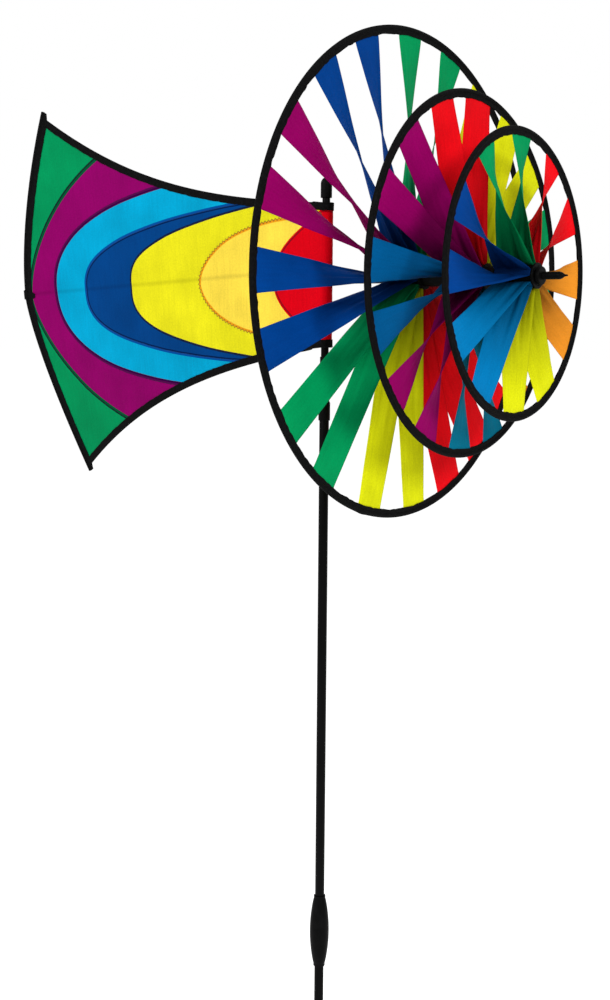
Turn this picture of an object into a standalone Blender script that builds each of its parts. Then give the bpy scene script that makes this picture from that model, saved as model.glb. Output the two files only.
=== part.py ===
"""A garden wind spinner: three ribbon wheels on one axle, a fish-tail vane behind them that turns the
head into the wind, and a two-piece pole on a ground stake.

Metres, +Z up, +X along the axle into the wind. The origin is on the pole's axis at ground level.
"""

import math

import bmesh
import bpy
from mathutils import Vector

# Driving dimensions
AXLE_HEIGHT = 1.325
GAP = 0.0004
ROUND_STEPS = 20

# Pole and stake, heights from the ground
POLE_RADIUS = 0.00525
POLE_TOP = AXLE_HEIGHT - 0.1465
POLE_JOINT = AXLE_HEIGHT - 0.737
POLE_BOTTOM = 0.008
PIN_RADIUS = 0.0024
PIN_BORE_RADIUS = 0.0028
PIN_BOTTOM = AXLE_HEIGHT - 0.190
PIN_TOP = AXLE_HEIGHT + 0.0930
FERRULE_RADIUS = 0.0109
FERRULE_HALF_LENGTH = 0.042
FERRULE_END_RADIUS = 0.0066
FERRULE_LIP = 0.003
PIN_CHAMFER = 0.0012
WASHER_RADIUS = 0.0052
WASHER_THICKNESS = 0.0012
STAKE_SOCKET_TOP = 0.062
STAKE_FLANGE_RADIUS = 0.028
STAKE_FLANGE_THICKNESS = 0.005
STAKE_DEPTH = 0.190
STAKE_SOCKET_RADIUS = 0.0085
STAKE_SOCKET_FOOT_RADIUS = 0.0100
STAKE_SOCKET_FOOT_HEIGHT = 0.009
STAKE_SHANK_RADIUS = 0.0060
STAKE_TAPER_RADIUS = 0.0045
STAKE_TAPER_LENGTH = 0.025
FIN_TOP_DEPTH = 0.008
FIN_TOE_CLEARANCE = 0.012
FIN_TOP_HALF_WIDTH = 0.0230
FIN_TOE_HALF_WIDTH = 0.0045
FIN_THICKNESS_SHARE = 0.12

# Mast, which turns on the pin, heights from the axle
MAST_RADIUS = 0.0042
MAST_BORE_RADIUS = 0.0030
MAST_BOTTOM = -0.1440
MAST_TOP = 0.0980
CAP_RADIUS = 0.0061
CAP_BOTTOM = 0.0850
CAP_TOP = 0.1068
FITTING_RADIUS = 0.0066
FITTING_BOTTOM = -0.0145
FITTING_TOP = 0.0205
AXLE_BOSS_RADIUS = 0.0056
AXLE_BOSS_END = 0.030
SPAR_BOSS_RADIUS = 0.0034
SPAR_BOSS_END = 0.020
# Long enough to run out of the fitting at the far end
BORE_LENGTH = 0.040
BORE_DEPTH_SPARE = 0.001
COLLAR_TOP = -0.0840
COLLAR_STEP = -0.1320
COLLAR_BOTTOM = -0.1530
COLLAR_TOP_RADIUS = 0.0052
COLLAR_WAIST_RADIUS = 0.0054
COLLAR_SKIRT_RADIUS = 0.0064
CAP_RIM = 0.0006

# Axle and what is stacked on it, distances from the mast
AXLE_RADIUS = 0.0028
AXLE_BORE_RADIUS = 0.0031
AXLE_START = 0.0085
AXLE_END = 0.2760
END_PLAY = 0.0008
HUB_LENGTH = 0.045
HUB_RADIUS = 0.0110
HUB_FLANGE_RADIUS = 0.0126
HUB_FLANGE_THICKNESS = 0.0020
REAR_SPACER_RADIUS = 0.0060
SPACER_RADIUS = 0.0098
STOP_COLLAR_RADIUS = 0.0088
STOP_COLLAR_LENGTH = 0.0038
NIB_RADIUS = 0.0038
NIB_LENGTH = 0.0267
# The nib's taper: (radius, distance back from its tip)
NIB_TAPER = ((0.0, 0.0), (0.0007, 0.0002), (0.0012, 0.0035), (0.0027, 0.0055), (NIB_RADIUS, 0.0085))

# Wheels: name, place of the ring's plane along the axle, ring radius, pairs of ribbons, width of a
# ribbon's end as an angle, place of the first pair, and which way the ribbons twist
WHEELS = (
    ("large", 0.1047, 0.2475, 10, 9.6, 153.8, 1),
    ("medium", 0.1780, 0.1772, 8, 13.8, 97.8, -1),
    ("small", 0.2332, 0.1360, 6, 18.0, 104.8, 1),
)
WHEEL_COLOURS = {
    "large": ("purple", "blue", "green", "yellow", "red", "orange", "red", "yellow", "green", "blue"),
    "medium": ("red", "purple", "azure", "purple", "teal", "orange", "green", "yellow"),
    "small": ("green", "blue", "azure", "yellow", "orange", "red"),
}
RING_STEPS = 40
RING_ROD_RADIUS = 0.0016
BAND_WIDTH = 0.0089
TAPE_THICKNESS = 0.0005
ROD_CLEARANCE = 0.0004
SLIT_HALF_WIDTH = 0.00105
RIBBON_THICKNESS = 0.0006
RIBBON_ROOT_HALF_WIDTH = 0.0198
RIBBON_ROOT_RADIUS = HUB_RADIUS + 0.0008
RIBBON_FLAT_FROM = 0.97
RIBBON_TUCK = 0.0028
RIBBON_ROWS = (0.0, 0.06, 0.28, 0.52, 0.76, RIBBON_FLAT_FROM, 1.0)

# Tail, in its own plane: distances behind the mast, and heights from its centre line
TAIL_DROOP = math.radians(3.2)
TAIL_CENTRE = 0.003
TAIL_OFFSET = 0.0031
TAIL_CORNER = 0.4015
TAIL_BOW = 0.0715
TAIL_BOW_POWER = 1.5
TAIL_HALF_AT_MAST = 0.0765
TAIL_HALF_AT_CORNER = 0.219
TAIL_SLOPE_AT_MAST = 0.118
TAIL_SLOPE_AT_CORNER = 0.774
TAIL_TWIST = math.radians(9.4)
TAIL_THICKNESS = 0.0008
SLEEVE_RADIUS = 0.0075
SLEEVE_WRAP = math.radians(115)
SLEEVE_SEAM_BACK = 0.0125
SLEEVE_NEAR_OFFSET = 0.0062
SLEEVE_FAR_OFFSET = 0.0066
SLEEVE_TAIL = 0.024
SLEEVE_TAIL_OFFSET = 0.0052
SPAR_RADIUS = 0.0016
SPAR_HEIGHT = 0.0098
SPAR_DROOP = math.radians(3.0)
SPAR_START = 0.0090
SPAR_END = 0.4550
SPAR_CAP_RADIUS = 0.0023
SPAR_CAP_LENGTH = 0.014
SPAR_CAP_DEPTH = 0.010
TAIL_BAND_WIDTH = 0.0086
BOW_BAND_WIDTH = 0.0122
CLOTH_INSET = 0.0062
TAIL_SHARES = (0.055, 0.12, 0.24, 0.38, 0.52, 0.66, 0.80, 0.945, 1.0)
WINDOW_LEVEL = 0.15
TAIL_LEVELS = (-1.0, -0.72, -0.42, -WINDOW_LEVEL, WINDOW_LEVEL, 0.42, 0.72, 1.0)
BOW_TAPE_LEVEL = 0.985
BOW_STEPS = 16
EDGE_INSET = 0.0002

COLOURS = {
    "purple": (0.30, 0.0, 0.17),
    "blue": (0.0, 0.045, 0.30),
    "azure": (0.0, 0.16, 0.48),
    "green": (0.0, 0.30, 0.10),
    "teal": (0.0, 0.16, 0.22),
    "yellow": (0.82, 0.76, 0.02),
    "red": (0.80, 0.0, 0.01),
    "orange": (0.90, 0.30, 0.03),
    "black": (0.008, 0.008, 0.008),
    "steel": (0.45, 0.45, 0.45),
    "nylon": (0.75, 0.73, 0.68),
    "tail": (0.0, 0.30, 0.60),
}


# Scene, materials and placing


def clear_scene():
    for obj in list(bpy.data.objects):
        bpy.data.objects.remove(obj, do_unlink=True)


def new_collection(name, rendered=True):
    collection = bpy.data.collections.new(name)
    bpy.context.scene.collection.children.link(collection)
    collection.hide_render = not rendered
    return collection


def material(name, colour, roughness, metallic=0.0):
    found = bpy.data.materials.get(name)
    if found:
        return found
    made = bpy.data.materials.new(name)
    made.use_nodes = True
    shader = made.node_tree.nodes["Principled BSDF"]
    shader.inputs["Base Color"].default_value = (*COLOURS[colour], 1.0)
    shader.inputs["Roughness"].default_value = roughness
    shader.inputs["Metallic"].default_value = metallic
    return made


def black_plastic():
    return material("black_plastic", "black", 0.45)


def black_tape():
    return material("black_tape", "black", 0.8)


def black_rod():
    return material("black_rod", "black", 0.35)


def cloth(colour):
    return material(f"{colour}_cloth", colour, 0.7)


def empty(name, location, parent=None):
    made = bpy.data.objects.new(name, None)
    made.location = location
    made.parent = parent
    PARTS.objects.link(made)
    return made


def add_object(name, mesh, finish, parent=None, location=(0, 0, 0), rotation=(0, 0, 0)):
    made = bpy.data.objects.new(name, mesh)
    made.location = location
    made.rotation_euler = rotation
    made.parent = parent
    PARTS.objects.link(made)
    if finish:
        made.data.materials.append(finish)
    return made


def as_cutter(obj):
    """Moves an object to the helpers, which a render leaves out."""
    PARTS.objects.unlink(obj)
    CUTTERS.objects.link(obj)
    obj.hide_render = True
    obj.display_type = "WIRE"
    return obj


def boolean(obj, operation, other):
    modifier = obj.modifiers.new(f"{operation.lower()}_{other.name}", "BOOLEAN")
    modifier.operation = operation
    modifier.object = other
    modifier.solver = "EXACT"


# Shapes


def cylinder_mesh(name, radius, depth, steps=ROUND_STEPS, far_radius=None):
    """A cylinder or cone along +Z from z = 0 to z = depth."""
    shape = bmesh.new()
    bmesh.ops.create_cone(
        shape,
        cap_ends=True,
        segments=steps,
        radius1=radius,
        radius2=radius if far_radius is None else far_radius,
        depth=depth,
    )
    bmesh.ops.translate(shape, verts=shape.verts, vec=(0, 0, depth / 2))
    mesh = bpy.data.meshes.new(name)
    shape.to_mesh(mesh)
    shape.free()
    return mesh


def profile_mesh(name, points, closed):
    """The points (radius, height) joined by edges, for a Screw modifier to turn round Z. A closed profile
    has no edge where it runs along the axis."""
    edges = [(i, i + 1) for i in range(len(points) - 1)]
    if closed:
        edges.append((len(points) - 1, 0))
        edges = [(i, j) for i, j in edges if points[i][0] > 0 or points[j][0] > 0]
    mesh = bpy.data.meshes.new(name)
    mesh.from_pydata([(radius, 0, height) for radius, height in points], edges, [])
    return mesh


def turned(name, points, finish, closed=True, steps=ROUND_STEPS, **place):
    """A shape turned round its own Z. The profile is a loop that runs down the outer side."""
    made = add_object(name, profile_mesh(name, points, closed), finish, **place)
    screw = made.modifiers.new("turn", "SCREW")
    screw.axis = "Z"
    screw.steps = steps
    screw.render_steps = steps
    screw.use_merge_vertices = any(radius == 0 for radius, _ in points)
    screw.merge_threshold = 0.00001
    screw.use_smooth_shade = True
    return made


def tube_profile(outer, inner, bottom, top):
    return [(outer, top), (outer, bottom), (inner, bottom), (inner, top)]


def solidify(obj, thickness):
    modifier = obj.modifiers.new("thickness", "SOLIDIFY")
    modifier.thickness = thickness
    modifier.offset = 0
    modifier.use_even_offset = True
    return obj


def mapped_grid(name, columns, rows, place_of):
    """A grid of columns x rows faces whose points go where place_of(column, row) says."""
    shape = bmesh.new()
    bmesh.ops.create_grid(shape, x_segments=columns, y_segments=rows, size=0.5)
    for vert in shape.verts:
        column = round((vert.co.x + 0.5) * columns)
        row = round((vert.co.y + 0.5) * rows)
        vert.co = place_of(column, row)
    mesh = bpy.data.meshes.new(name)
    shape.to_mesh(mesh)
    shape.free()
    return mesh


def fold_section(rod_radius, half_gap, leg_end):
    """The middle line of a tape folded over an edge: (distance inward, distance along the normal). The
    fold goes round a rod at 0, and the legs run inward to leg_end."""
    radius = max(rod_radius + ROD_CLEARANCE + TAPE_THICKNESS / 2, half_gap)
    start = math.asin(half_gap / radius)
    arc_steps = 6
    points = [(leg_end, -half_gap)]
    for i in range(arc_steps + 1):
        angle = -start - (2 * math.pi - 2 * start) * i / arc_steps
        points.append((radius * math.cos(angle), radius * math.sin(angle)))
    points.append((leg_end, half_gap))
    return points


def fold_tape(name, path, section, finish, **place):
    """A tape folded over an edge. Each step of the path is (point, inward direction, normal)."""

    def place_of(column, row):
        point, inward, normal = path[column]
        along_inward, along_normal = section[row]
        return point + inward * along_inward + normal * along_normal

    mesh = mapped_grid(name, len(path) - 1, len(section) - 1, place_of)
    return solidify(add_object(name, mesh, finish, **place), TAPE_THICKNESS)


def bent_rod(name, points, radius, finish, **place):
    """A round rod along the points."""
    curve = bpy.data.curves.new(name, "CURVE")
    curve.dimensions = "3D"
    curve.bevel_depth = radius
    curve.bevel_resolution = 1
    curve.use_fill_caps = True
    spline = curve.splines.new("POLY")
    spline.points.add(len(points) - 1)
    for knot, point in zip(spline.points, points):
        knot.co = (*point, 1)
    return add_object(name, curve, finish, **place)


# Pole and ground stake


def ground_stake():
    """A socket for the pole, a flange that stops at the ground, and a spike with two crossed fins."""
    bore = POLE_RADIUS + GAP
    bore_bottom = POLE_BOTTOM - GAP
    profile = [
        (STAKE_SOCKET_RADIUS, STAKE_SOCKET_TOP),
        (STAKE_SOCKET_FOOT_RADIUS, STAKE_SOCKET_FOOT_HEIGHT),
        (STAKE_FLANGE_RADIUS, STAKE_FLANGE_THICKNESS),
        (STAKE_FLANGE_RADIUS, 0),
        (STAKE_SHANK_RADIUS, 0),
        (STAKE_TAPER_RADIUS, -STAKE_DEPTH + STAKE_TAPER_LENGTH),
        (0, -STAKE_DEPTH),
        (0, bore_bottom),
        (bore, bore_bottom),
        (bore, STAKE_SOCKET_TOP),
    ]
    stake = turned("ground_stake", profile, black_plastic())
    fin_height = STAKE_DEPTH - FIN_TOP_DEPTH - FIN_TOE_CLEARANCE
    for turn in (0, 1):
        fin = add_object(
            f"stake_fin_{turn}",
            cylinder_mesh("stake_fin", FIN_TOE_HALF_WIDTH, fin_height, 4, FIN_TOP_HALF_WIDTH),
            None,
            location=(0, 0, -STAKE_DEPTH + FIN_TOE_CLEARANCE),
            rotation=(0, 0, math.pi / 2 * turn),
        )
        fin.scale = (1.0, FIN_THICKNESS_SHARE, 1.0)
        fin.data.transform(fin.matrix_basis)
        fin.matrix_basis.identity()
        boolean(stake, "UNION", as_cutter(fin))


def pole_ferrule():
    """The spindle-shaped sleeve over the joint of the two pole sections."""
    bore = POLE_RADIUS + GAP
    half = FERRULE_HALF_LENGTH
    swell_half = half - FERRULE_LIP
    swell = FERRULE_RADIUS - FERRULE_END_RADIUS
    swell_steps = 8
    profile = [(FERRULE_END_RADIUS, half), (FERRULE_END_RADIUS, swell_half)]
    for i in range(1, swell_steps):
        across = i / swell_steps
        radius = FERRULE_END_RADIUS + swell * math.sin(math.pi * across) ** 0.8
        profile.append((radius, swell_half * (1 - 2 * across)))
    profile += [
        (FERRULE_END_RADIUS, -swell_half),
        (FERRULE_END_RADIUS, -half),
        (bore, -half),
        (bore, half),
    ]
    turned("pole_ferrule", profile, black_plastic(), location=(0, 0, POLE_JOINT))


def poles():
    """The two pole sections, which meet inside the ferrule. The upper one is bored for the pin."""
    add_object(
        "lower_pole",
        cylinder_mesh("lower_pole", POLE_RADIUS, POLE_JOINT - GAP / 2 - POLE_BOTTOM),
        black_rod(),
        location=(0, 0, POLE_BOTTOM),
    )
    bottom = POLE_JOINT + GAP / 2
    bore_bottom = PIN_BOTTOM - GAP
    profile = [
        (PIN_BORE_RADIUS, POLE_TOP),
        (POLE_RADIUS, POLE_TOP),
        (POLE_RADIUS, bottom),
        (0, bottom),
        (0, bore_bottom),
        (PIN_BORE_RADIUS, bore_bottom),
    ]
    turned("upper_pole", profile, black_rod())


def pivot():
    """The pin that the mast turns on, and the washer that it rests on."""
    pin = [
        (0, PIN_TOP),
        (PIN_RADIUS - PIN_CHAMFER, PIN_TOP),
        (PIN_RADIUS, PIN_TOP - PIN_CHAMFER),
        (PIN_RADIUS, PIN_BOTTOM),
        (0, PIN_BOTTOM),
    ]
    turned("pivot_pin", pin, material("bright_steel", "steel", 0.3, 1.0))
    bottom = POLE_TOP + GAP
    washer = tube_profile(WASHER_RADIUS, PIN_BORE_RADIUS, bottom, bottom + WASHER_THICKNESS)
    turned("thrust_washer", washer, material("white_nylon", "nylon", 0.5))


# Mast and the fitting on it


def mast(head):
    """The tube that turns on the pin."""
    turned(
        "mast_tube",
        tube_profile(MAST_RADIUS, MAST_BORE_RADIUS, MAST_BOTTOM, MAST_TOP),
        black_rod(),
        parent=head,
    )


def swivel_collar(head):
    """The collar at the mast's foot. Its skirt covers the washer and the top of the pole."""
    bore = MAST_RADIUS + GAP
    skirt = POLE_RADIUS + GAP
    shoulder = MAST_BOTTOM - GAP
    profile = [
        (COLLAR_TOP_RADIUS, COLLAR_TOP),
        (COLLAR_WAIST_RADIUS, COLLAR_STEP),
        (COLLAR_SKIRT_RADIUS, COLLAR_STEP - 0.002),
        (COLLAR_SKIRT_RADIUS, COLLAR_BOTTOM),
        (skirt, COLLAR_BOTTOM),
        (skirt, shoulder),
        (MAST_BORE_RADIUS, shoulder),
        (MAST_BORE_RADIUS, shoulder + GAP / 2),
        (bore, shoulder + GAP / 2),
        (bore, COLLAR_TOP),
    ]
    turned("swivel_collar", profile, black_plastic(), parent=head)


def mast_cap(head):
    """The domed cap over the mast's top end."""
    bore = MAST_RADIUS + GAP
    cavity_top = MAST_TOP + GAP
    cap = [(0, CAP_TOP)]
    dome_steps = 5
    dome_height = CAP_TOP - cavity_top - 0.001
    for i in range(1, dome_steps + 1):
        angle = math.pi / 2 * (1 - i / dome_steps)
        cap.append((CAP_RADIUS * math.cos(angle), CAP_TOP - dome_height * (1 - math.sin(angle))))
    cap += [
        (CAP_RADIUS, CAP_BOTTOM + CAP_RIM),
        (CAP_RADIUS - CAP_RIM, CAP_BOTTOM),
        (bore, CAP_BOTTOM),
        (bore, cavity_top),
        (0, cavity_top),
    ]
    turned("mast_cap", cap, black_plastic(), parent=head)


def axle_fitting(head):
    """The moulded tee on the mast: it holds the axle in front and the tail's spar behind."""
    fitting = add_object(
        "axle_fitting",
        cylinder_mesh("axle_fitting", FITTING_RADIUS, FITTING_TOP - FITTING_BOTTOM),
        black_plastic(),
        parent=head,
        location=(0, 0, FITTING_BOTTOM),
    )
    front = (0, math.pi / 2, 0)
    rear = (0, -math.pi / 2 - SPAR_DROOP, 0)
    spar_at = (0, 0, SPAR_HEIGHT)
    pieces = (
        ("axle_boss", "UNION", AXLE_BOSS_RADIUS, AXLE_BOSS_END, (0, 0, 0), front),
        ("spar_boss", "UNION", SPAR_BOSS_RADIUS, SPAR_BOSS_END, spar_at, rear),
    )
    for name, operation, radius, length, location, rotation in pieces:
        piece = add_object(name, cylinder_mesh(name, radius, length, 16), None, head, location, rotation)
        boolean(fitting, operation, as_cutter(piece))
    mast_bore = add_object(
        "mast_bore",
        cylinder_mesh("mast_bore", MAST_RADIUS + GAP, 2 * BORE_LENGTH),
        None,
        head,
        (0, 0, -BORE_LENGTH),
    )
    boolean(fitting, "DIFFERENCE", as_cutter(mast_bore))
    bores = (
        ("axle_bore", AXLE_BORE_RADIUS, BORE_LENGTH, AXLE_START - GAP, 0.0, front),
        ("spar_bore", SPAR_RADIUS + GAP, BORE_LENGTH, SPAR_START - BORE_DEPTH_SPARE, SPAR_HEIGHT, rear),
    )
    for name, radius, length, start, height, rotation in bores:
        direction = 1 if rotation == front else -1
        drop = math.tan(SPAR_DROOP) * start if direction < 0 else 0
        location = (direction * start, 0, height - drop)
        piece = add_object(name, cylinder_mesh(name, radius, length, 16), None, head, location, rotation)
        boolean(fitting, "DIFFERENCE", as_cutter(piece))


# Axle and the pieces stacked on it


def along_axle(name, profile, start, head):
    """A piece turned round the axle. Its profile's heights run from the start towards the front."""
    turned(
        name, profile, black_plastic(), parent=head, location=(start, 0, 0), rotation=(0, math.pi / 2, 0)
    )


def axle(head):
    add_object(
        "axle",
        cylinder_mesh("axle", AXLE_RADIUS, AXLE_END - AXLE_START),
        black_rod(),
        parent=head,
        location=(AXLE_START, 0, 0),
        rotation=(0, math.pi / 2, 0),
    )


def spacers(head):
    """The three bushes that keep the wheels apart, with a little end play at each."""
    starts = [AXLE_BOSS_END] + [place + HUB_LENGTH / 2 for _, place, *_ in WHEELS[:2]]
    ends = [place - HUB_LENGTH / 2 for _, place, *_ in WHEELS]
    names = ("rear_spacer", "middle_spacer", "front_spacer")
    radii = (REAR_SPACER_RADIUS, SPACER_RADIUS, SPACER_RADIUS)
    for name, start, end, radius in zip(names, starts, ends, radii):
        length = end - start - 2 * END_PLAY
        along_axle(name, tube_profile(radius, AXLE_BORE_RADIUS, 0, length), start + END_PLAY, head)


def axle_end(head):
    """The stop collar in front of the small wheel, and the nib pressed over the axle's end."""
    start = WHEELS[2][1] + HUB_LENGTH / 2 + END_PLAY
    collar = tube_profile(STOP_COLLAR_RADIUS, AXLE_BORE_RADIUS, 0, STOP_COLLAR_LENGTH)
    along_axle("stop_collar", collar, start, head)
    nib_start = start + STOP_COLLAR_LENGTH + GAP
    cavity = AXLE_END - nib_start + GAP
    nib = [(radius, NIB_LENGTH - back) for radius, back in NIB_TAPER]
    nib += [(NIB_RADIUS, 0), (AXLE_BORE_RADIUS, 0), (AXLE_BORE_RADIUS, cavity), (0, cavity)]
    along_axle("axle_nib", nib, nib_start, head)


# Wheels


def wheel_ring(name, radius, pivot):
    """The sprung hoop inside its folded tape. The tape's legs point at the hub and hold the ribbons."""
    band_out = radius + BAND_WIDTH / 2
    rod_at = band_out - RING_ROD_RADIUS - ROD_CLEARANCE - TAPE_THICKNESS
    facing = (0, math.pi / 2, 0)
    bpy.ops.mesh.primitive_torus_add(
        major_segments=RING_STEPS,
        minor_segments=6,
        major_radius=rod_at,
        minor_radius=RING_ROD_RADIUS,
    )
    made = bpy.context.object
    mesh = made.data
    mesh.name = f"{name}_ring_rod"
    bpy.data.objects.remove(made)
    add_object(f"{name}_ring_rod", mesh, black_rod(), pivot, rotation=facing)
    section = fold_section(RING_ROD_RADIUS, SLIT_HALF_WIDTH, BAND_WIDTH - (band_out - rod_at))
    points = [(rod_at - inward, across) for inward, across in section]
    tape = turned(
        f"{name}_ring_tape",
        points,
        black_tape(),
        closed=False,
        steps=RING_STEPS,
        parent=pivot,
        rotation=facing,
    )
    solidify(tape, TAPE_THICKNESS)


def wheel_hub(name, pivot):
    """A hub with a flange at each end, between which the ribbons are fixed."""
    half = HUB_LENGTH / 2
    inner = half - HUB_FLANGE_THICKNESS
    profile = [
        (HUB_FLANGE_RADIUS, half),
        (HUB_FLANGE_RADIUS, inner),
        (HUB_RADIUS, inner),
        (HUB_RADIUS, -inner),
        (HUB_FLANGE_RADIUS, -inner),
        (HUB_FLANGE_RADIUS, -half),
        (AXLE_BORE_RADIUS, -half),
        (AXLE_BORE_RADIUS, half),
    ]
    turned(f"{name}_hub", profile, black_plastic(), parent=pivot, rotation=(0, math.pi / 2, 0))


def ribbon_point(radius, pitch, leg, along, across, width, twist):
    """A point of a ribbon that comes in from the ring at one leg, is folded at the hub, and goes back out
    at the other. along is 0 at the hub and 1 at the ring, and across is -1 to 1 over the width."""
    flat = min(along / RIBBON_FLAT_FROM, 1.0)
    root_angle = leg * pitch / 2
    end_radius = radius - BAND_WIDTH / 2 + RIBBON_TUCK
    ring_angle = root_angle + across * width / 2
    root = Vector(
        (
            twist * across * RIBBON_ROOT_HALF_WIDTH,
            RIBBON_ROOT_RADIUS * math.cos(root_angle),
            RIBBON_ROOT_RADIUS * math.sin(root_angle),
        )
    )
    end = Vector((0, end_radius * math.cos(ring_angle), end_radius * math.sin(ring_angle)))
    point = root.lerp(end, along)
    point.x = twist * across * RIBBON_ROOT_HALF_WIDTH * (1 - flat)
    return point


def ribbon(wheel, index, colour, radius, pairs, width, first, twist, pivot):
    """Two legs of one ribbon, half a pitch either side of the pair's middle."""
    rows = [(-1, along) for along in reversed(RIBBON_ROWS)] + [(1, along) for along in RIBBON_ROWS]
    columns = 2
    pitch = math.pi / pairs

    def place_of(column, row):
        leg, along = rows[row]
        across = 2 * column / columns - 1
        return ribbon_point(radius, pitch, leg, along, across, math.radians(width), twist)

    name = f"{wheel}_ribbon_{index + 1}"
    mesh = mapped_grid(name, columns, len(rows) - 1, place_of)
    middle = math.radians(first) + index * 2 * pitch
    made = add_object(name, mesh, cloth(colour), pivot, rotation=(middle, 0, 0))
    solidify(made, RIBBON_THICKNESS)


def wheel(head, name, place, radius, pairs, width, first, twist):
    pivot = empty(f"{name}_wheel_pivot", (place, 0, 0), head)
    wheel_ring(name, radius, pivot)
    wheel_hub(name, pivot)
    for index, colour in enumerate(WHEEL_COLOURS[name]):
        ribbon(name, index, colour, radius, pairs, width, first, twist, pivot)


# Tail


def tail_half_height(back):
    """The tail's half height this far behind the mast: narrow at the mast, flaring to the corners."""
    t = back / TAIL_CORNER
    rise = TAIL_HALF_AT_CORNER - TAIL_HALF_AT_MAST
    start = TAIL_SLOPE_AT_MAST * TAIL_CORNER
    finish = TAIL_SLOPE_AT_CORNER * TAIL_CORNER
    curve = start * (t**3 - 2 * t**2 + t) + rise * (3 * t**2 - 2 * t**3) + finish * (t**3 - t**2)
    return TAIL_HALF_AT_MAST + curve


def tail_place(back, height, off=0.0):
    """A point of the tail, from its distance behind the mast and its height from the centre line. off is
    along the cloth's far side. The cloth twists about its centre line towards the trailing edge."""
    twist = TAIL_TWIST * back / TAIL_CORNER
    centre = Vector((-back, -TAIL_OFFSET, TAIL_CENTRE - back * math.tan(TAIL_DROOP)))
    up = Vector((0, -math.sin(twist), math.cos(twist)))
    far = Vector((0, math.cos(twist), math.sin(twist)))
    return centre + up * height + far * off


def tail_back(share, level):
    """How far behind the mast a point is: share 0 to 1 to the trailing edge, level -1 to 1 up it."""
    return share * (TAIL_CORNER + TAIL_BOW * (1 - abs(level) ** TAIL_BOW_POWER))


def sleeve_path():
    """The sleeve's section round the mast, from its free end on the far side to where the cloth starts."""
    arc_steps = 6
    points = [
        Vector((-SLEEVE_TAIL, SLEEVE_TAIL_OFFSET, 0)),
        Vector((-SLEEVE_SEAM_BACK, SLEEVE_FAR_OFFSET, 0)),
    ]
    for i in range(arc_steps + 1):
        angle = SLEEVE_WRAP * (1 - 2 * i / arc_steps)
        points.append(Vector((SLEEVE_RADIUS * math.cos(angle), SLEEVE_RADIUS * math.sin(angle), 0)))
    points.append(Vector((-SLEEVE_SEAM_BACK, -SLEEVE_NEAR_OFFSET, 0)))
    return points


def tail_point(column, level):
    """A point of the whole cloth: the sleeve's columns come first, then the tail's."""
    sleeve = sleeve_path()
    if column < len(sleeve):
        height = TAIL_CENTRE + level * TAIL_HALF_AT_MAST
        return sleeve[column] + Vector((0, 0, height))
    share = TAIL_SHARES[column - len(sleeve)]
    height = level * tail_half_height(share * TAIL_CORNER)
    return tail_place(tail_back(share, level) - share * CLOTH_INSET, height)


def tail_cloth(head):
    """The sleeve and the tail in one sheet, with a window in front for the axle's boss."""
    sleeve_columns = len(sleeve_path())
    columns = sleeve_columns + len(TAIL_SHARES) - 1
    rows = len(TAIL_LEVELS) - 1
    mesh = mapped_grid(
        "tail_cloth", columns, rows, lambda column, row: tail_point(column, TAIL_LEVELS[row])
    )
    shape = bmesh.new()
    shape.from_mesh(mesh)
    window = WINDOW_LEVEL * TAIL_HALF_AT_MAST
    in_window = [
        face
        for face in shape.faces
        if face.calc_center_median().x > 0
        and abs(face.calc_center_median().z - TAIL_CENTRE) < window
    ]
    bmesh.ops.delete(shape, geom=in_window, context="FACES")
    shape.to_mesh(mesh)
    shape.free()
    solidify(add_object("tail_cloth", mesh, cloth("tail"), head), TAIL_THICKNESS)


def edge_path(side):
    """The steps of the binding on the top (1) or bottom (-1) edge, short of the trailing corner."""
    columns = len(sleeve_path()) + len(TAIL_SHARES) - 1
    steps = []
    for column in range(columns):
        point = tail_point(column, side)
        inward = (tail_point(column, side * 0.9) - point).normalized()
        along = (tail_point(column + 1, side) - tail_point(max(column - 1, 0), side)).normalized()
        normal = along.cross(inward).normalized()
        steps.append((point - inward * EDGE_INSET, inward, normal))
    return steps


def bow_step(level, inset):
    """A step of the trailing edge: the rod's middle is inset from the cloth's outline."""
    outline = tail_place(tail_back(1, level), level * TAIL_HALF_AT_CORNER)
    step = 0.01
    above = tail_place(tail_back(1, level + step), (level + step) * TAIL_HALF_AT_CORNER)
    below = tail_place(tail_back(1, level - step), (level - step) * TAIL_HALF_AT_CORNER)
    along = (above - below).normalized()
    forward = tail_place(tail_back(1, level) - step, level * TAIL_HALF_AT_CORNER) - outline
    normal = along.cross(forward).normalized()
    inward = normal.cross(along)
    return outline + inward * inset, inward, normal


def bow_and_bindings(head):
    """The sprung rod along the trailing edge in its tape, and the tapes on the top and bottom edges."""
    rod_inset = RING_ROD_RADIUS + ROD_CLEARANCE + TAPE_THICKNESS
    levels = [BOW_TAPE_LEVEL * (2 * i / BOW_STEPS - 1) for i in range(BOW_STEPS + 1)]
    steps = [bow_step(level, rod_inset) for level in levels]
    section = fold_section(RING_ROD_RADIUS, SLIT_HALF_WIDTH, BOW_BAND_WIDTH - rod_inset)
    fold_tape("tail_bow_tape", steps, section, black_tape(), parent=head)
    ends = [bow_step(side, rod_inset) for side in (-1, 1)]
    rod = [ends[0][0], *[point for point, _, _ in steps], ends[1][0]]
    bent_rod("tail_bow_rod", rod, RING_ROD_RADIUS, black_rod(), parent=head)
    for name, side in (("tail_top_tape", 1), ("tail_bottom_tape", -1)):
        section = fold_section(0, SLIT_HALF_WIDTH, TAIL_BAND_WIDTH - SLIT_HALF_WIDTH)
        fold_tape(name, edge_path(side), section, black_tape(), parent=head)


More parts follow.
